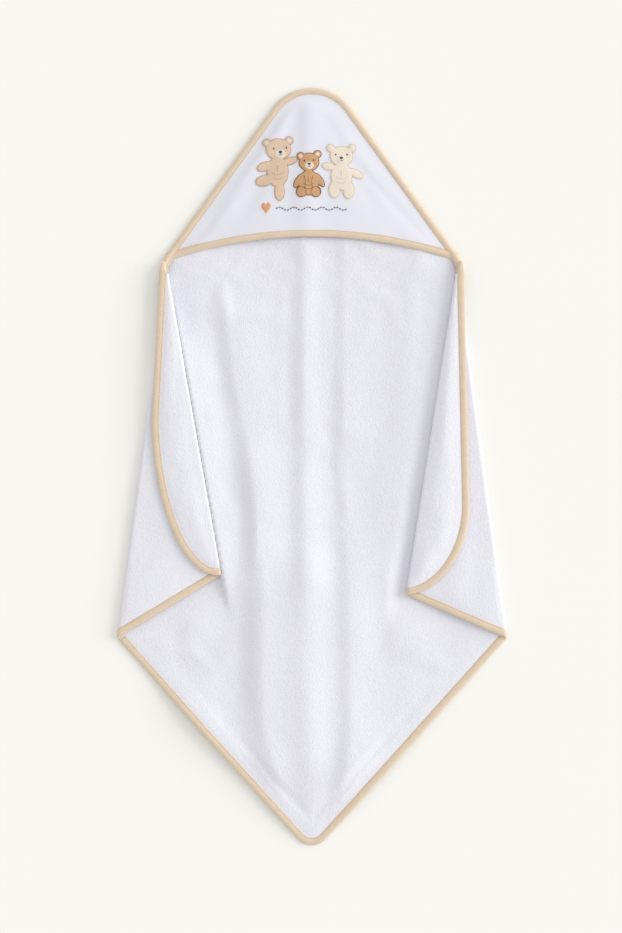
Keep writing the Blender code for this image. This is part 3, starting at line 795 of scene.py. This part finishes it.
def bind(name, path, place, half, seed, sewn=slice(None)):
    """The tape and the stitches of one of the centre's edges. sewn is the part of the path with stitches."""
    taped = tape(name + "_tape", path, place, 1, half, seed)
    finish(taped, tape_cloth, "centre", [name + "_binding"])
    sewn_on = stitches(name + "_stitches", path[sewn], place, 1, half)
    finish(sewn_on, tape_thread, "centre", [name + "_stitching"])
    return taped, sewn_on


sides = {hand: Side(hand) for hand in (LEFT, RIGHT)}
TAPE_STEP = 0.0016 if fine else 0.004

# Bottom binding, from the left outer fold's loop round the bottom corner to the right one's.
bottom_line = resample(bottom, 0.0015)
kept = np.all([(bottom_line - s.outer_foot) @ s.outer_in > LOOP_SETBACK + 0.0015 for s in sides.values()],
              axis=0)
bottom_path = np.concatenate([[sides[LEFT].start], bottom_line[kept], [sides[RIGHT].start]])
bottom_place = level_place(lambda points, share: TAPE_Z + bottom_lift(points[:, 0], points[:, 1]))
bottom_tape, bottom_stitches = bind("bottom_edge", bottom_path, bottom_place, HALF_TAPE, 1)

# Hood seam binding, thicker towards the corners, where the fan's layers gather.
legs_line = resample(corner_arcs[RIGHT][::-1] + legs[1:-1] + corner_arcs[LEFT], 0.0015)
legs_length = np.linalg.norm(np.diff(legs_line, axis=0), axis=1).sum()


HALF_SEAM_CORNER = 0.0050


def seam_half(share):
    from_end = np.minimum(share, 1 - share) * legs_length
    return HALF_SEAM_TAPE + (HALF_SEAM_CORNER - HALF_SEAM_TAPE) * (1 - smooth((from_end - 0.006) / 0.034))


seam_place = level_place(lambda points, share: seam_half(share) + 0.0002)
seam_tape, seam_stitches = bind("hood_seam", legs_line, seam_place, seam_half, 2)

# Hood front-edge binding.
FRONT_END = 0.1885
FRONT_OFFSET = 0.00145
front_x = np.linspace(-FRONT_END, FRONT_END, 260)
front_path = np.stack([front_x, front_height(front_x)], 1)


def front_level(points, share):
    x = np.clip(points[:, 0], -FRONT_END, FRONT_END)
    edge = front_height(x) + 0.004
    return hood_middle(x, edge, FRONT_SEAM_Z, HOOD_BASE + FRONT_OFFSET)


edge_tape, edge_stitches = bind("hood_edge", front_path, level_place(front_level), HALF_FRONT, 3,
                                slice(6, -6))

# Terry of the centre.
bound_lines = [bottom_line, legs_line]
ROWS, COLUMNS = (330, 172) if fine else (120, 64)


def right_half(outline):
    """The right half of one of the centre's edges, tucked into its binding, as points from the lowest up."""
    tucked = np.array(inset(outline + [(0, 0)], TUCK)[:-1])
    tucked = tucked[tucked[:, 0] >= -1e-9]
    return tucked[np.argsort(tucked[:, 1])]


def centre_half_width(y):
    """Half the centre cloth's width at y, tucked into its bindings, and up to its folds' loops."""
    leg, low = right_half(legs), right_half(bottom)
    fold_head, fold_foot = np.array(FOLD_HEAD), np.array(OUTER_FOLD_FOOT)
    slope = (fold_foot[0] - fold_head[0]) / (fold_foot[1] - fold_head[1])
    loop = fold_head[0] + (y - fold_head[1]) * slope - LOOP_SETBACK / math.cos(math.atan(slope))
    corner = HOOD_CORNER[0] - 0.003
    loop = np.where(y > fold_head[1] - 0.012, corner, loop)
    loop = np.where(y > HOOD_CORNER[1], 1.0, loop)
    return np.minimum(np.minimum(np.interp(y, leg[:, 1], leg[:, 0], left=1.0), loop),
                      np.interp(y, low[:, 1], low[:, 0], right=1.0))


def centre_grid(rows, columns):
    """x, y, and the distance from the bound edges, over the centre."""
    row_y = np.linspace(-HALF_LENGTH + TUCK + 0.0006, HALF_LENGTH - TUCK - 0.0006, rows)
    grid_x = centre_half_width(row_y)[:, None] * np.linspace(-1, 1, columns)[None, :]
    grid_y = np.broadcast_to(row_y[:, None], grid_x.shape).copy()
    flat = np.stack([grid_x.ravel(), grid_y.ravel()], 1)
    gap = np.minimum(*[distance_to(flat, line[::4]) for line in bound_lines]).reshape(grid_x.shape)
    return grid_x, grid_y, gap


PRESS_END, FULL_AFTER = 0.0088, 0.0065     # the tape presses the terry up to here, and it fills out after


def fullness(gap):
    """0 where a tape presses the terry, and 1 where it has its full thickness."""
    return smooth((gap - PRESS_END) / FULL_AFTER)


def half_terry(full):
    return HALF_PRESSED + (HALF_TERRY - HALF_PRESSED) * full


SETTLE_CAP = 0.0024             # the most that settling may move a point, so that the folds stay


def settled(grid, free, cap, growth=0.012, frames=20):
    """How far each point of a coarse cloth moves up or down as it relaxes on the surface under it. Points
    where free is 0 are held, and the cloth is let out a little, so that it finds its own wrinkles."""
    rows, columns = grid.shape[:2]
    start = grid.reshape(-1, 3).copy()
    start[:, 2] += 0.0003 * noise_at(start * np.array([1, 0.5, 0]), 0.03, 71) * free.ravel()
    data = bpy.data.meshes.new("settling")
    data.from_pydata(start.tolist(), [], grid_quads(rows, columns).tolist())
    cage = bpy.data.objects.new("settling", data)
    bpy.context.scene.collection.objects.link(cage)
    pins = cage.vertex_groups.new(name="pins")
    for i, one in enumerate(free.ravel()):
        if one < 0.999:
            pins.add([i], float(1 - one), "REPLACE")
    under = bpy.data.meshes.new("settling_floor")
    under.from_pydata([(-1, -1, 0), (1, -1, 0), (1, 1, 0), (-1, 1, 0)], [], [(0, 1, 2, 3)])
    floor = bpy.data.objects.new("settling_floor", under)
    bpy.context.scene.collection.objects.link(floor)
    floor.modifiers.new("collision", "COLLISION")
    floor.collision.thickness_outer = 0.001
    cloth = cage.modifiers.new("cloth", "CLOTH")
    cloth.settings.quality = 6
    cloth.settings.mass = 0.12
    cloth.settings.tension_stiffness = 12
    cloth.settings.compression_stiffness = 12
    cloth.settings.shear_stiffness = 4
    cloth.settings.bending_stiffness = 0.15
    cloth.settings.air_damping = 2
    cloth.settings.vertex_group_mass = "pins"
    cloth.settings.shrink_min = -growth
    cloth.settings.effector_weights.gravity = 0.25
    cloth.collision_settings.distance_min = 0.001
    cloth.point_cache.frame_end = frames
    for frame_number in range(1, frames + 1):
        bpy.context.scene.frame_set(frame_number)
    graph = bpy.context.evaluated_depsgraph_get()
    eased = cage.evaluated_get(graph).data
    moved = np.empty(len(eased.vertices) * 3, np.float32)
    eased.vertices.foreach_get("co", moved)
    rise = moved.reshape(rows, columns, 3)[..., 2] - grid[..., 2]
    bpy.data.objects.remove(cage)
    bpy.data.objects.remove(floor)
    bpy.context.scene.frame_set(1)
    for _ in range(2):
        beside = rise[:-2, 1:-1] + rise[2:, 1:-1] + rise[1:-1, :-2] + rise[1:-1, 2:]
        rise[1:-1, 1:-1] = (beside + 2 * rise[1:-1, 1:-1]) / 6
    return cap * np.tanh(rise / cap)


if fine:
    coarse_x, coarse_y, coarse_gap = centre_grid(110, 58)
    coarse_z = TAPE_Z + centre_height(coarse_x, coarse_y, coarse_gap)
    free = smooth((coarse_gap - 0.014) / 0.02)
    for hand in (LEFT, RIGHT):
        beside = smooth((coarse_y - INNER_FOLD_FOOT[hand][1] + 0.09) / 0.04)
        free *= 1 - beside * (1 - smooth((fold_gap(coarse_x, coarse_y, hand) - 0.006) / 0.02))
        free *= 1 - smooth((np.abs(coarse_x) - 0.17) / 0.03) * (coarse_y > OUTER_FOLD_FOOT[1] - 0.01)
    free *= 1 - smooth(above_front(coarse_x, coarse_y) / 0.05)
    coarse_rise = settled(np.stack([coarse_x, coarse_y, coarse_z], -1), free, SETTLE_CAP)
    settled_rise = refine(refine(coarse_rise, 3, 0), 3, 1)
    ROWS, COLUMNS = settled_rise.shape
grid_x, grid_y, edge_gap = centre_grid(ROWS, COLUMNS)
full = fullness(edge_gap)
middle_z = TAPE_Z - 0.0002 * full + centre_height(grid_x, grid_y, edge_gap)
wander = np.stack([grid_x * 0.45, grid_y * 0.18, 0 * grid_x], -1)
if fine:
    middle_z += settled_rise
uneven = smooth((edge_gap - 0.012) / 0.03)
for hand in (RIGHT, LEFT):
    uneven = uneven * smooth((fold_gap(grid_x, grid_y, hand) - 0.002) / 0.03)
middle_z += 0.0011 * uneven * (noise_at(wander, 0.016, 11) + 0.45)
middle = np.stack([grid_x, grid_y, np.maximum(middle_z, TAPE_Z - 0.0003)], -1)
centre_cloth = terry_layer("centre_cloth", middle, half_terry(full), 21, floor=0.00002)
finish(centre_cloth, terry, "centre", ["centre_panel"])

# Side corners.
FLAP_PUFF = {LEFT: 0.0014, RIGHT: 0.0030}
FLAP_CREST = {LEFT: 1.10, RIGHT: 0.80}     # below 1, the crest is nearer the inner fold


def flap_tape_half(share):
    """Thins out at the hood corner, where the flap's tape runs onto the hood's."""
    return HALF_TAPE * (1 - 0.75 * smooth((share - 0.965) / 0.035))


for hand in (LEFT, RIGHT):
    s, name = sides[hand], NAMES[hand]
    rows, wing_columns, flap_columns, loop_columns = (130, 40, 30, 10) if fine else (50, 16, 12, 6)
    grid, loop_first = side_grid(s, rows, wing_columns, flap_columns, loop_columns)
    bound = [ribbon(resample(path, 0.002), place, 1, 0.0)[0]
             for path, place in ((s.wing_path, s.wing_place), (s.flap_path, s.flap_place))]
    gaps = [distance_to(grid.reshape(-1, 3), line).reshape(grid.shape[:2]) for line in bound]
    column = np.arange(grid.shape[1])[None, :]
    gap = np.where(column < loop_first, gaps[0], np.where(column > loop_first + loop_columns, gaps[1],
                                                          np.minimum(*gaps)))
    half = half_terry(fullness(gap))
    flap_at = loop_first + loop_columns
    share = np.clip((np.arange(grid.shape[1]) - flap_at) / (grid.shape[1] - 1 - flap_at), 0, 1)
    puff = np.sin(np.pi * share ** FLAP_CREST[hand])[None, :] * smooth((gap - 0.006) / 0.03)
    length = np.linspace(0, 1, grid.shape[0])[:, None]
    puff = puff * smooth(length / 0.25)
    grid[..., 2] += FLAP_PUFF[hand] * puff * (share > 0)[None, :]
    on_wing = np.arange(grid.shape[1]) > loop_columns
    on_wing = (on_wing & (np.arange(grid.shape[1]) < loop_first))[None, :]
    grid[..., 2] += on_wing * s.wing_lift(grid[..., :2].reshape(-1, 2)).reshape(grid.shape[:2])
    wander = grid * np.array([0.9, 0.35, 0])
    free = smooth((gap - 0.008) / 0.02)
    flap_free = free * smooth(share * 3)[None, :]
    grid[..., 2] += 0.0012 * flap_free * (noise_at(wander, 0.02, 31 + hand) + 0.5)
    wing_share = np.clip((np.arange(grid.shape[1]) - loop_columns) / (loop_first - loop_columns), 0, 1)
    wing_free = free * np.sin(np.pi * wing_share)[None, :] * (wing_share < 1)
    grid[..., 2] += 0.0008 * wing_free * (noise_at(wander, 0.02, 41 + hand) + 0.6)
    wing, flap = terry_layer(name, grid, half, 51 + 4 * hand, cut=[
        (name + "_wing_cloth", 0, loop_first + 1), (name + "_flap_cloth", loop_first, grid.shape[1])])
    wing_body, flap_body = name + "_wing", name + "_flap"
    finish(wing, terry, None, [name + "_wing_panel"])
    finish(flap, terry, None, [name + "_flap_panel"])
    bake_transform(wing)
    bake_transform(flap)
    for piece, path, place, thresholds, bodies in (
            ("wing", s.wing_path, s.wing_place, (0.0037, 0.0046), ("centre", wing_body)),
            ("flap", s.flap_path, s.flap_place, (0.0084, 0.0096), (wing_body, flap_body))):
        turned = hand if piece == "wing" else -hand
        thick = HALF_TAPE if piece == "wing" else flap_tape_half
        obj = tape(f"{name}_{piece}_tape", path, place, turned, thick, 5 + hand)
        finish(obj, tape_cloth, None, [f"{name}_{piece}_binding"])
        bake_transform(obj)
        sewn = stitches(f"{name}_{piece}_stitches", path[40:], place, turned, HALF_TAPE)
        finish(sewn, tape_thread, bodies[1], [f"{name}_{piece}_stitching"])

# Hood.
ACROSS, DOWN = (150, 90) if fine else (60, 36)
hood_x = np.linspace(-0.1895, 0.1895, ACROSS)
leg = np.array(inset(legs + [(0, 0)], TUCK)[:-1])
order = np.argsort(leg[:, 0])
leg_y = np.interp(hood_x, leg[order, 0], leg[order, 1])
low_y = front_height(hood_x, TUCK)
leg_y = np.maximum(leg_y, low_y + 0.002)
share = np.linspace(0, 1, DOWN)[:, None]
hx = np.broadcast_to(hood_x[None, :], (DOWN, ACROSS)).copy()
hy = low_y[None, :] + (leg_y - low_y)[None, :] * share


def hood_cloth(name, height, nap_height, nap_size, seed, nap_above):
    """One of the hood's layers, with its nap on its upper or its lower face."""
    grid = np.stack([hx, hy, height(hx, hy)], -1)
    normal = normals_of(grid)
    if normal[..., 2].mean() < 0:
        normal = -normal
    nap = nap_height * noise_at(grid, nap_size, seed)[..., None]
    above, below = (nap, 0.0) if nap_above else (0.0, nap)
    return layer(name, grid + normal * (HALF_HOOD_CLOTH + above), grid - normal * (HALF_HOOD_CLOTH + below))


outer = hood_cloth("hood_outer_cloth", outer_middle, 0.00008, 0.012, 61, True)
finish(outer, velour, "centre", ["hood_outer_panel"])
lining = hood_cloth("hood_lining_cloth", lining_middle, 0.00012, 0.006, 62, False)
finish(lining, lining_terry, "centre", ["hood_lining"])

# Embroidery backing, between the hood's two layers.
back_y = np.linspace(0.331, 0.425, 40)
back_half = hood_half_width(back_y) - (SEAM_MARGIN + 0.020) / math.cos(LEAN)
bx = back_half[:, None] * np.linspace(-1, 1, 50)[None, :]
by = np.broadcast_to(back_y[:, None], bx.shape)
bz = (outer_middle(bx, by) + lining_middle(bx, by)) / 2
back_grid = np.stack([bx, by, bz], -1)
shift = np.array([0, 0, 0.00015])
backing = layer("embroidery_backing_cloth", back_grid + shift, back_grid - shift)
finish(backing, backing_cloth, "centre", ["embroidery_backing"])


# Embroidery. Motifs are ovals: x, y, half width, half height, tilt in degrees.

def on_ellipse(x, y, half_width, half_height, tilt, angle):
    lean = math.radians(tilt)
    a, b = half_width * math.cos(angle), half_height * math.sin(angle)
    return (x + a * math.cos(lean) - b * math.sin(lean), y + a * math.sin(lean) + b * math.cos(lean))


def oval(x, y, half_width, half_height, tilt, count=36):
    return [on_ellipse(x, y, half_width, half_height, tilt, math.tau * i / count) for i in range(count)]


def patch(name, outlines, height, lift=0.0, spacing=0.0011, rim=0.0022, sink=0.0002):
    """Raised stitching over the outlines' union: rounded at its rim, resting on the hood."""
    points, faces = [], []
    for outline in outlines:
        faces.append(list(range(len(points), len(points) + len(outline))))
        points += [Vector(p) for p in outline]
    xs, ys = [p.x for p in points], [p.y for p in points]
    nx, ny = int((max(xs) - min(xs)) / spacing), int((max(ys) - min(ys)) / spacing)
    for i in range(nx + 1):
        for j in range(ny + 1):
            points.append(Vector((min(xs) + (i + 0.5 * (j % 2)) * spacing, min(ys) + j * spacing)))
    flat, _, found, _, _, owners = delaunay_2d_cdt(points, [], faces, 1, 1e-6, True)
    triangles = [list(t) for t, owner in zip(found, owners) if owner]
    flat = np.array([tuple(p) for p in flat])
    edges = {}
    for t in triangles:
        for a, b in zip(t, t[1:] + t[:1]):
            edges[(min(a, b), max(a, b))] = edges.get((min(a, b), max(a, b)), 0) + 1
    border = [e for e, count in edges.items() if count == 1]
    used = sorted({i for t in triangles for i in t})
    remap = {old: new for new, old in enumerate(used)}
    flat_used = flat[used]
    gap = np.full(len(flat_used), 1e9)
    for a, b in border:
        gap = np.minimum(gap, distance_to(flat_used, flat[[a, b]]))
    base = hood_top(flat_used[:, 0], flat_used[:, 1]) + lift
    dome = np.sqrt(np.clip(1 - (1 - np.clip(gap / rim, 0, 1)) ** 2, 0, 1))
    top = np.concatenate([flat_used, (base + 0.0001 + height * dome)[:, None]], 1)
    under = np.concatenate([flat_used, (base - sink)[:, None]], 1)
    count = len(flat_used)
    mesh_faces = [[remap[i] for i in t] for t in triangles]
    mesh_faces += [[remap[i] + count for i in t][::-1] for t in triangles]
    direction = {}
    for t in triangles:
        for a, b in zip(t, t[1:] + t[:1]):
            direction[(a, b)] = True
    for a, b in border:
        if (a, b) not in direction:
            a, b = b, a
        mesh_faces.append([remap[b], remap[a], remap[a] + count, remap[b] + count])
    return new_mesh(name, np.concatenate([top, under]), mesh_faces), loops_of(border, flat)


def loops_of(border, flat):
    """Border edges chained into closed lines."""
    near = {}
    for a, b in border:
        near.setdefault(a, []).append(b)
        near.setdefault(b, []).append(a)
    seen, made = set(), []
    for start in near:
        if start in seen:
            continue
        line, last, here = [start], None, start
        seen.add(start)
        while True:
            following = [n for n in near[here] if n != last and (n not in seen or n == start)]
            if not following:
                break
            last, here = here, following[0]
            if here == start:
                break
            line.append(here)
            seen.add(here)
        made.append(flat[line + [start]])
    return made


def cord_mesh(name, lines, radius, lift, sides=6, closed=False):
    """Embroidery thread along flat lines on the hood."""
    vertices, faces = [], []
    for line in lines:
        path = resample(line, max(radius * 1.2, 0.0005))
        z = hood_top(path[:, 0], path[:, 1]) + lift
        path = np.concatenate([path, z[:, None]], 1)
        along = directions(path)
        across = np.cross(along, [0, 0, 1.0])
        across /= np.maximum(np.linalg.norm(across, axis=1, keepdims=True), 1e-12)
        up = np.cross(across, along)
        first, count = len(vertices), len(path)
        for i in range(count):
            taper = 0.55 if i in (0, count - 1) and not closed else 1
            thick = radius * (1 + 0.12 * math.sin(i * 1.9)) * taper
            for m in range(sides):
                angle = math.tau * m / sides
                vertices.append(path[i] + thick * (math.cos(angle) * across[i] + math.sin(angle) * up[i]))
        for i in range(count - 1):
            for m in range(sides):
                a, b = first + i * sides + m, first + i * sides + (m + 1) % sides
                faces.append([a, b, b + sides, a + sides])
        faces.append([first + m for m in range(sides)][::-1])
        faces.append([first + (count - 1) * sides + m for m in range(sides)])
    return new_mesh(name, np.array(vertices), faces)


def arc(x, y, half_width, half_height, start, end, count=14):
    turn = end - start
    return [on_ellipse(x, y, half_width, half_height, 0, math.radians(start + turn * i / count))
            for i in range(count + 1)]


BEARS = {
    "dancing_bear": {
        "shape": [(-0.044, 0.4155, 0.0165, 0.0140, 0), (-0.0450, 0.386, 0.0140, 0.0200, 0),
                  (-0.0595, 0.4240, 0.0054, 0.0054, 0), (-0.0300, 0.4270, 0.0054, 0.0054, 0),
                  (-0.0620, 0.393, 0.0105, 0.0058, 22), (-0.0290, 0.400, 0.0100, 0.0050, 18),
                  (-0.0620, 0.3745, 0.0120, 0.0072, 12), (-0.0425, 0.360, 0.0066, 0.0118, 0)],
        "ears": [(-0.0595, 0.4240, 0.0029, 0.0029, 0), (-0.0300, 0.4270, 0.0029, 0.0029, 0)],
        "muzzle": (-0.0415, 0.4095, 0.0072, 0.0060, 0), "nose": (-0.0412, 0.4120, 0.0025, 0.0018, 0),
        "eyes": [(-0.0500, 0.4165), (-0.0335, 0.4175)],
        "light": (0.80, 0.61, 0.45), "dark": (0.62, 0.45, 0.32), "line": (0.58, 0.41, 0.28)},
    "sitting_bear": {
        "shape": [(-0.004, 0.3985, 0.0132, 0.0118, 0), (-0.0045, 0.3715, 0.0130, 0.0165, 0),
                  (-0.0150, 0.4065, 0.0050, 0.0050, 0), (0.0072, 0.4090, 0.0050, 0.0050, 0),
                  (-0.0180, 0.3740, 0.0042, 0.0100, -30), (0.0098, 0.3750, 0.0042, 0.0105, 34),
                  (-0.0140, 0.3600, 0.0068, 0.0072, 0), (0.0050, 0.3600, 0.0068, 0.0072, 0)],
        "ears": [(-0.0150, 0.4065, 0.0027, 0.0027, 0), (0.0072, 0.4090, 0.0027, 0.0027, 0)],
        "muzzle": (-0.0035, 0.3940, 0.0060, 0.0050, 0), "nose": (-0.0035, 0.3962, 0.0021, 0.0015, 0),
        "eyes": [(-0.0098, 0.4005), (0.0022, 0.4010)],
        "light": (0.70, 0.41, 0.21), "dark": (0.52, 0.28, 0.13), "line": (0.24, 0.12, 0.06)},
    "standing_bear": {
        "shape": [(0.0385, 0.4065, 0.0150, 0.0130, 0), (0.0385, 0.380, 0.0138, 0.0185, 0),
                  (0.0245, 0.4170, 0.0052, 0.0052, 0), (0.0525, 0.4170, 0.0052, 0.0052, 0),
                  (0.0220, 0.3930, 0.0090, 0.0050, -10), (0.0575, 0.3835, 0.0105, 0.0052, -28),
                  (0.0290, 0.3625, 0.0072, 0.0112, 0), (0.0480, 0.3615, 0.0072, 0.0112, -5)],
        "ears": [(0.0245, 0.4170, 0.0028, 0.0028, 0), (0.0525, 0.4170, 0.0028, 0.0028, 0)],
        "muzzle": (0.0385, 0.4020, 0.0066, 0.0055, 0), "nose": (0.0385, 0.4042, 0.0023, 0.0016, 0),
        "eyes": [(0.0310, 0.4085), (0.0460, 0.4085)],
        "light": (0.88, 0.79, 0.67), "dark": (0.77, 0.66, 0.53), "line": (0.80, 0.66, 0.50)},
}

cream = satin_material("bear_cream", (0.86, 0.80, 0.71), (0.74, 0.66, 0.56), 1.2)
on_patch = 0.0007
for bear_name, bear in BEARS.items():
    look = satin_material(bear_name + "_stitching", bear["light"], bear["dark"], 0.4)
    deeper = tuple(0.7 * c for c in bear["line"])
    line_look = satin_material(bear_name + "_outline_thread", bear["line"], deeper, 1.0)
    obj, borders = patch(bear_name + "_patch", [oval(*one) for one in bear["shape"]], 0.0009)
    finish(obj, look, "centre", [bear_name])
    outline = cord_mesh(bear_name + "_outline", borders, 0.00048, 0.0003, closed=True)
    finish(outline, line_look, "centre")
    for hand, ear in zip((LEFT, RIGHT), bear["ears"]):
        node_name = bear_name + "_" + NAMES[hand] + "_inner_ear"
        inner_ear, _ = patch(node_name + "_patch", [oval(*ear)], 0.0004, on_patch, 0.0008, 0.0012)
        finish(inner_ear, cream, "centre", [node_name])
    muzzle, _ = patch(bear_name + "_muzzle_patch", [oval(*bear["muzzle"])], 0.0006, on_patch, 0.0009, 0.0020)
    finish(muzzle, cream, "centre", [bear_name + "_muzzle"])
    nose, _ = patch(bear_name + "_nose_patch", [oval(*bear["nose"])], 0.0005, on_patch + 0.0007, 0.0006,
                    0.0009)
    finish(nose, dark_thread, "centre", [bear_name + "_nose"])
    for hand, eye in zip((LEFT, RIGHT), bear["eyes"]):
        shape = oval(*eye, 0.0011, 0.0013, 0, 16)
        bead, _ = patch(f"{bear_name}_{NAMES[hand]}_eye", [shape], 0.0005, on_patch + 0.0002, 0.0005, 0.0008)
        finish(bead, dark_thread, "centre")
    x, y, w, h, _ = bear["nose"]
    lines = [[(x, y - h), (x, y - h - 0.0016)], arc(x, y - h - 0.0008, 0.0022, 0.0016, 200, 340)]
    mouth = cord_mesh(bear_name + "_mouth", lines, 0.00028, on_patch + 0.0008)
    finish(mouth, dark_thread, "centre")
    x, y, w, h, _ = bear["shape"][1]
    lines = [arc(x, y + 0.10 * h, 0.55 * w, 0.30 * h, 205, 335),
             arc(x, y - 0.28 * h, 0.45 * w, 0.22 * h, 200, 340), [(x, y + 0.02 * h), (x, y + 0.42 * h)]]
    if bear_name == "sitting_bear":
        lines += [arc(foot_x, foot_y, 0.90 * foot_w, 0.90 * foot_h, -20, 200)
                  for foot_x, foot_y, foot_w, foot_h, _ in bear["shape"][-2:]]
        lines += [arc(x + 0.62 * w * sign, y + 0.06 * h, 0.30 * w, 0.55 * h, *angles)
                  for sign, angles in ((-1, (-60, 70)), (1, (110, 240)))]
    tummy = cord_mesh(bear_name + "_tummy_lines", lines, 0.00030, on_patch + 0.0003)
    finish(tummy, line_look, "centre")

HEART = (-0.060, 0.338, 0.0062)
heart_x, heart_y, heart_size = HEART
outline = []
for i in range(48):
    angle = math.tau * i / 48
    up = (13 * math.cos(angle) - 5 * math.cos(2 * angle) - 2 * math.cos(3 * angle) - math.cos(4 * angle)) / 16
    outline.append((heart_x - heart_size * math.sin(angle) ** 3, heart_y + heart_size * (up + 0.15) * 1.35))
heart_look = satin_material("heart_satin", (0.76, 0.42, 0.22), (0.62, 0.32, 0.15), 0.8)
obj, borders = patch("heart_satin_patch", [outline], 0.0009)
finish(obj, heart_look, "centre", ["heart_patch"])

# Wordless wave: a running stitch of dark dashes.
dashes = []
steps = 260
WAVE_START, WAVE_END, WAVE_LENGTH = -0.047, 0.046, 0.093
WAVE_Y, WAVE_HEIGHT, WAVES = 0.3375, 0.002, 5
DASH_STEPS, DASH_PITCH = 8, 10
wave_x = np.linspace(WAVE_START, WAVE_END, steps)
wave_y = WAVE_Y + WAVE_HEIGHT * np.sin(math.tau * WAVES * (wave_x - WAVE_START) / WAVE_LENGTH)
for first in range(0, steps - DASH_STEPS, DASH_PITCH):
    dashes.append(np.stack([wave_x[first:first + DASH_STEPS], wave_y[first:first + DASH_STEPS]], 1))
obj = cord_mesh("wave_running_stitch", dashes, 0.00065, 0.0003)
finish(obj, dark_thread, "centre", ["stitched_wave_line"])

# Floor, light and camera.
FLOOR_HALF_WIDTH = 5.0
FLOOR_Z = -0.0003               # just under the towel, so that the two faces don't meet
floor_mesh = bmesh.new()
bmesh.ops.create_grid(floor_mesh, x_segments=24, y_segments=24, size=FLOOR_HALF_WIDTH)
data = bpy.data.meshes.new("floor")
floor_mesh.to_mesh(data)
floor_mesh.free()
floor = bpy.data.objects.new("floor", data)
floor.location.z = FLOOR_Z
bpy.context.scene.collection.objects.link(floor)
made, tree, shader = shader_of("studio_floor", 0.9)
grain = noise_node(tree, object_space(tree), 3.0, 2.0)
tinted(tree, shader, grain, (0.893, 0.886, 0.845), (0.898, 0.891, 0.850))
shader.inputs["Specular IOR Level"].default_value = 0.0
data.materials.append(made)

SKY_STRENGTH = 0.845
world = bpy.data.worlds.new("studio")
world.use_nodes = True
world.node_tree.nodes["Background"].inputs["Color"].default_value = (1.0, 1.0, 1.0, 1)
world.node_tree.nodes["Background"].inputs["Strength"].default_value = SKY_STRENGTH
bpy.context.scene.world = world

SUN_STRENGTH = 2.15
SUN_SOFTNESS = 42
SUN_FROM = (0.92, 0.30, 0.31)
sun = bpy.data.lights.new("window_light", "SUN")
sun.energy = SUN_STRENGTH
sun.angle = math.radians(SUN_SOFTNESS)
sun_object = bpy.data.objects.new("window_light", sun)
sun_object.location = (2.0, 0.7, 1.0)
sun_object.rotation_euler = Vector(SUN_FROM).to_track_quat("Z", "Y").to_euler()
bpy.context.scene.collection.objects.link(sun_object)

SENSOR = 24.0
CAMERA_X, CAMERA_HEIGHT = -0.0013, 3.0
VIEW_HEIGHT = 1.2257            # metres of floor from the picture's top to its bottom
camera = bpy.data.cameras.new("camera")
camera.sensor_fit = "VERTICAL"
camera.sensor_height = SENSOR
camera.lens = SENSOR * CAMERA_HEIGHT / VIEW_HEIGHT
camera_object = bpy.data.objects.new("camera", camera)
camera_object.location = (CAMERA_X, 0.0, CAMERA_HEIGHT)
bpy.context.scene.collection.objects.link(camera_object)
bpy.context.scene.camera = camera_object
bpy.context.scene.view_settings.view_transform = "Standard"
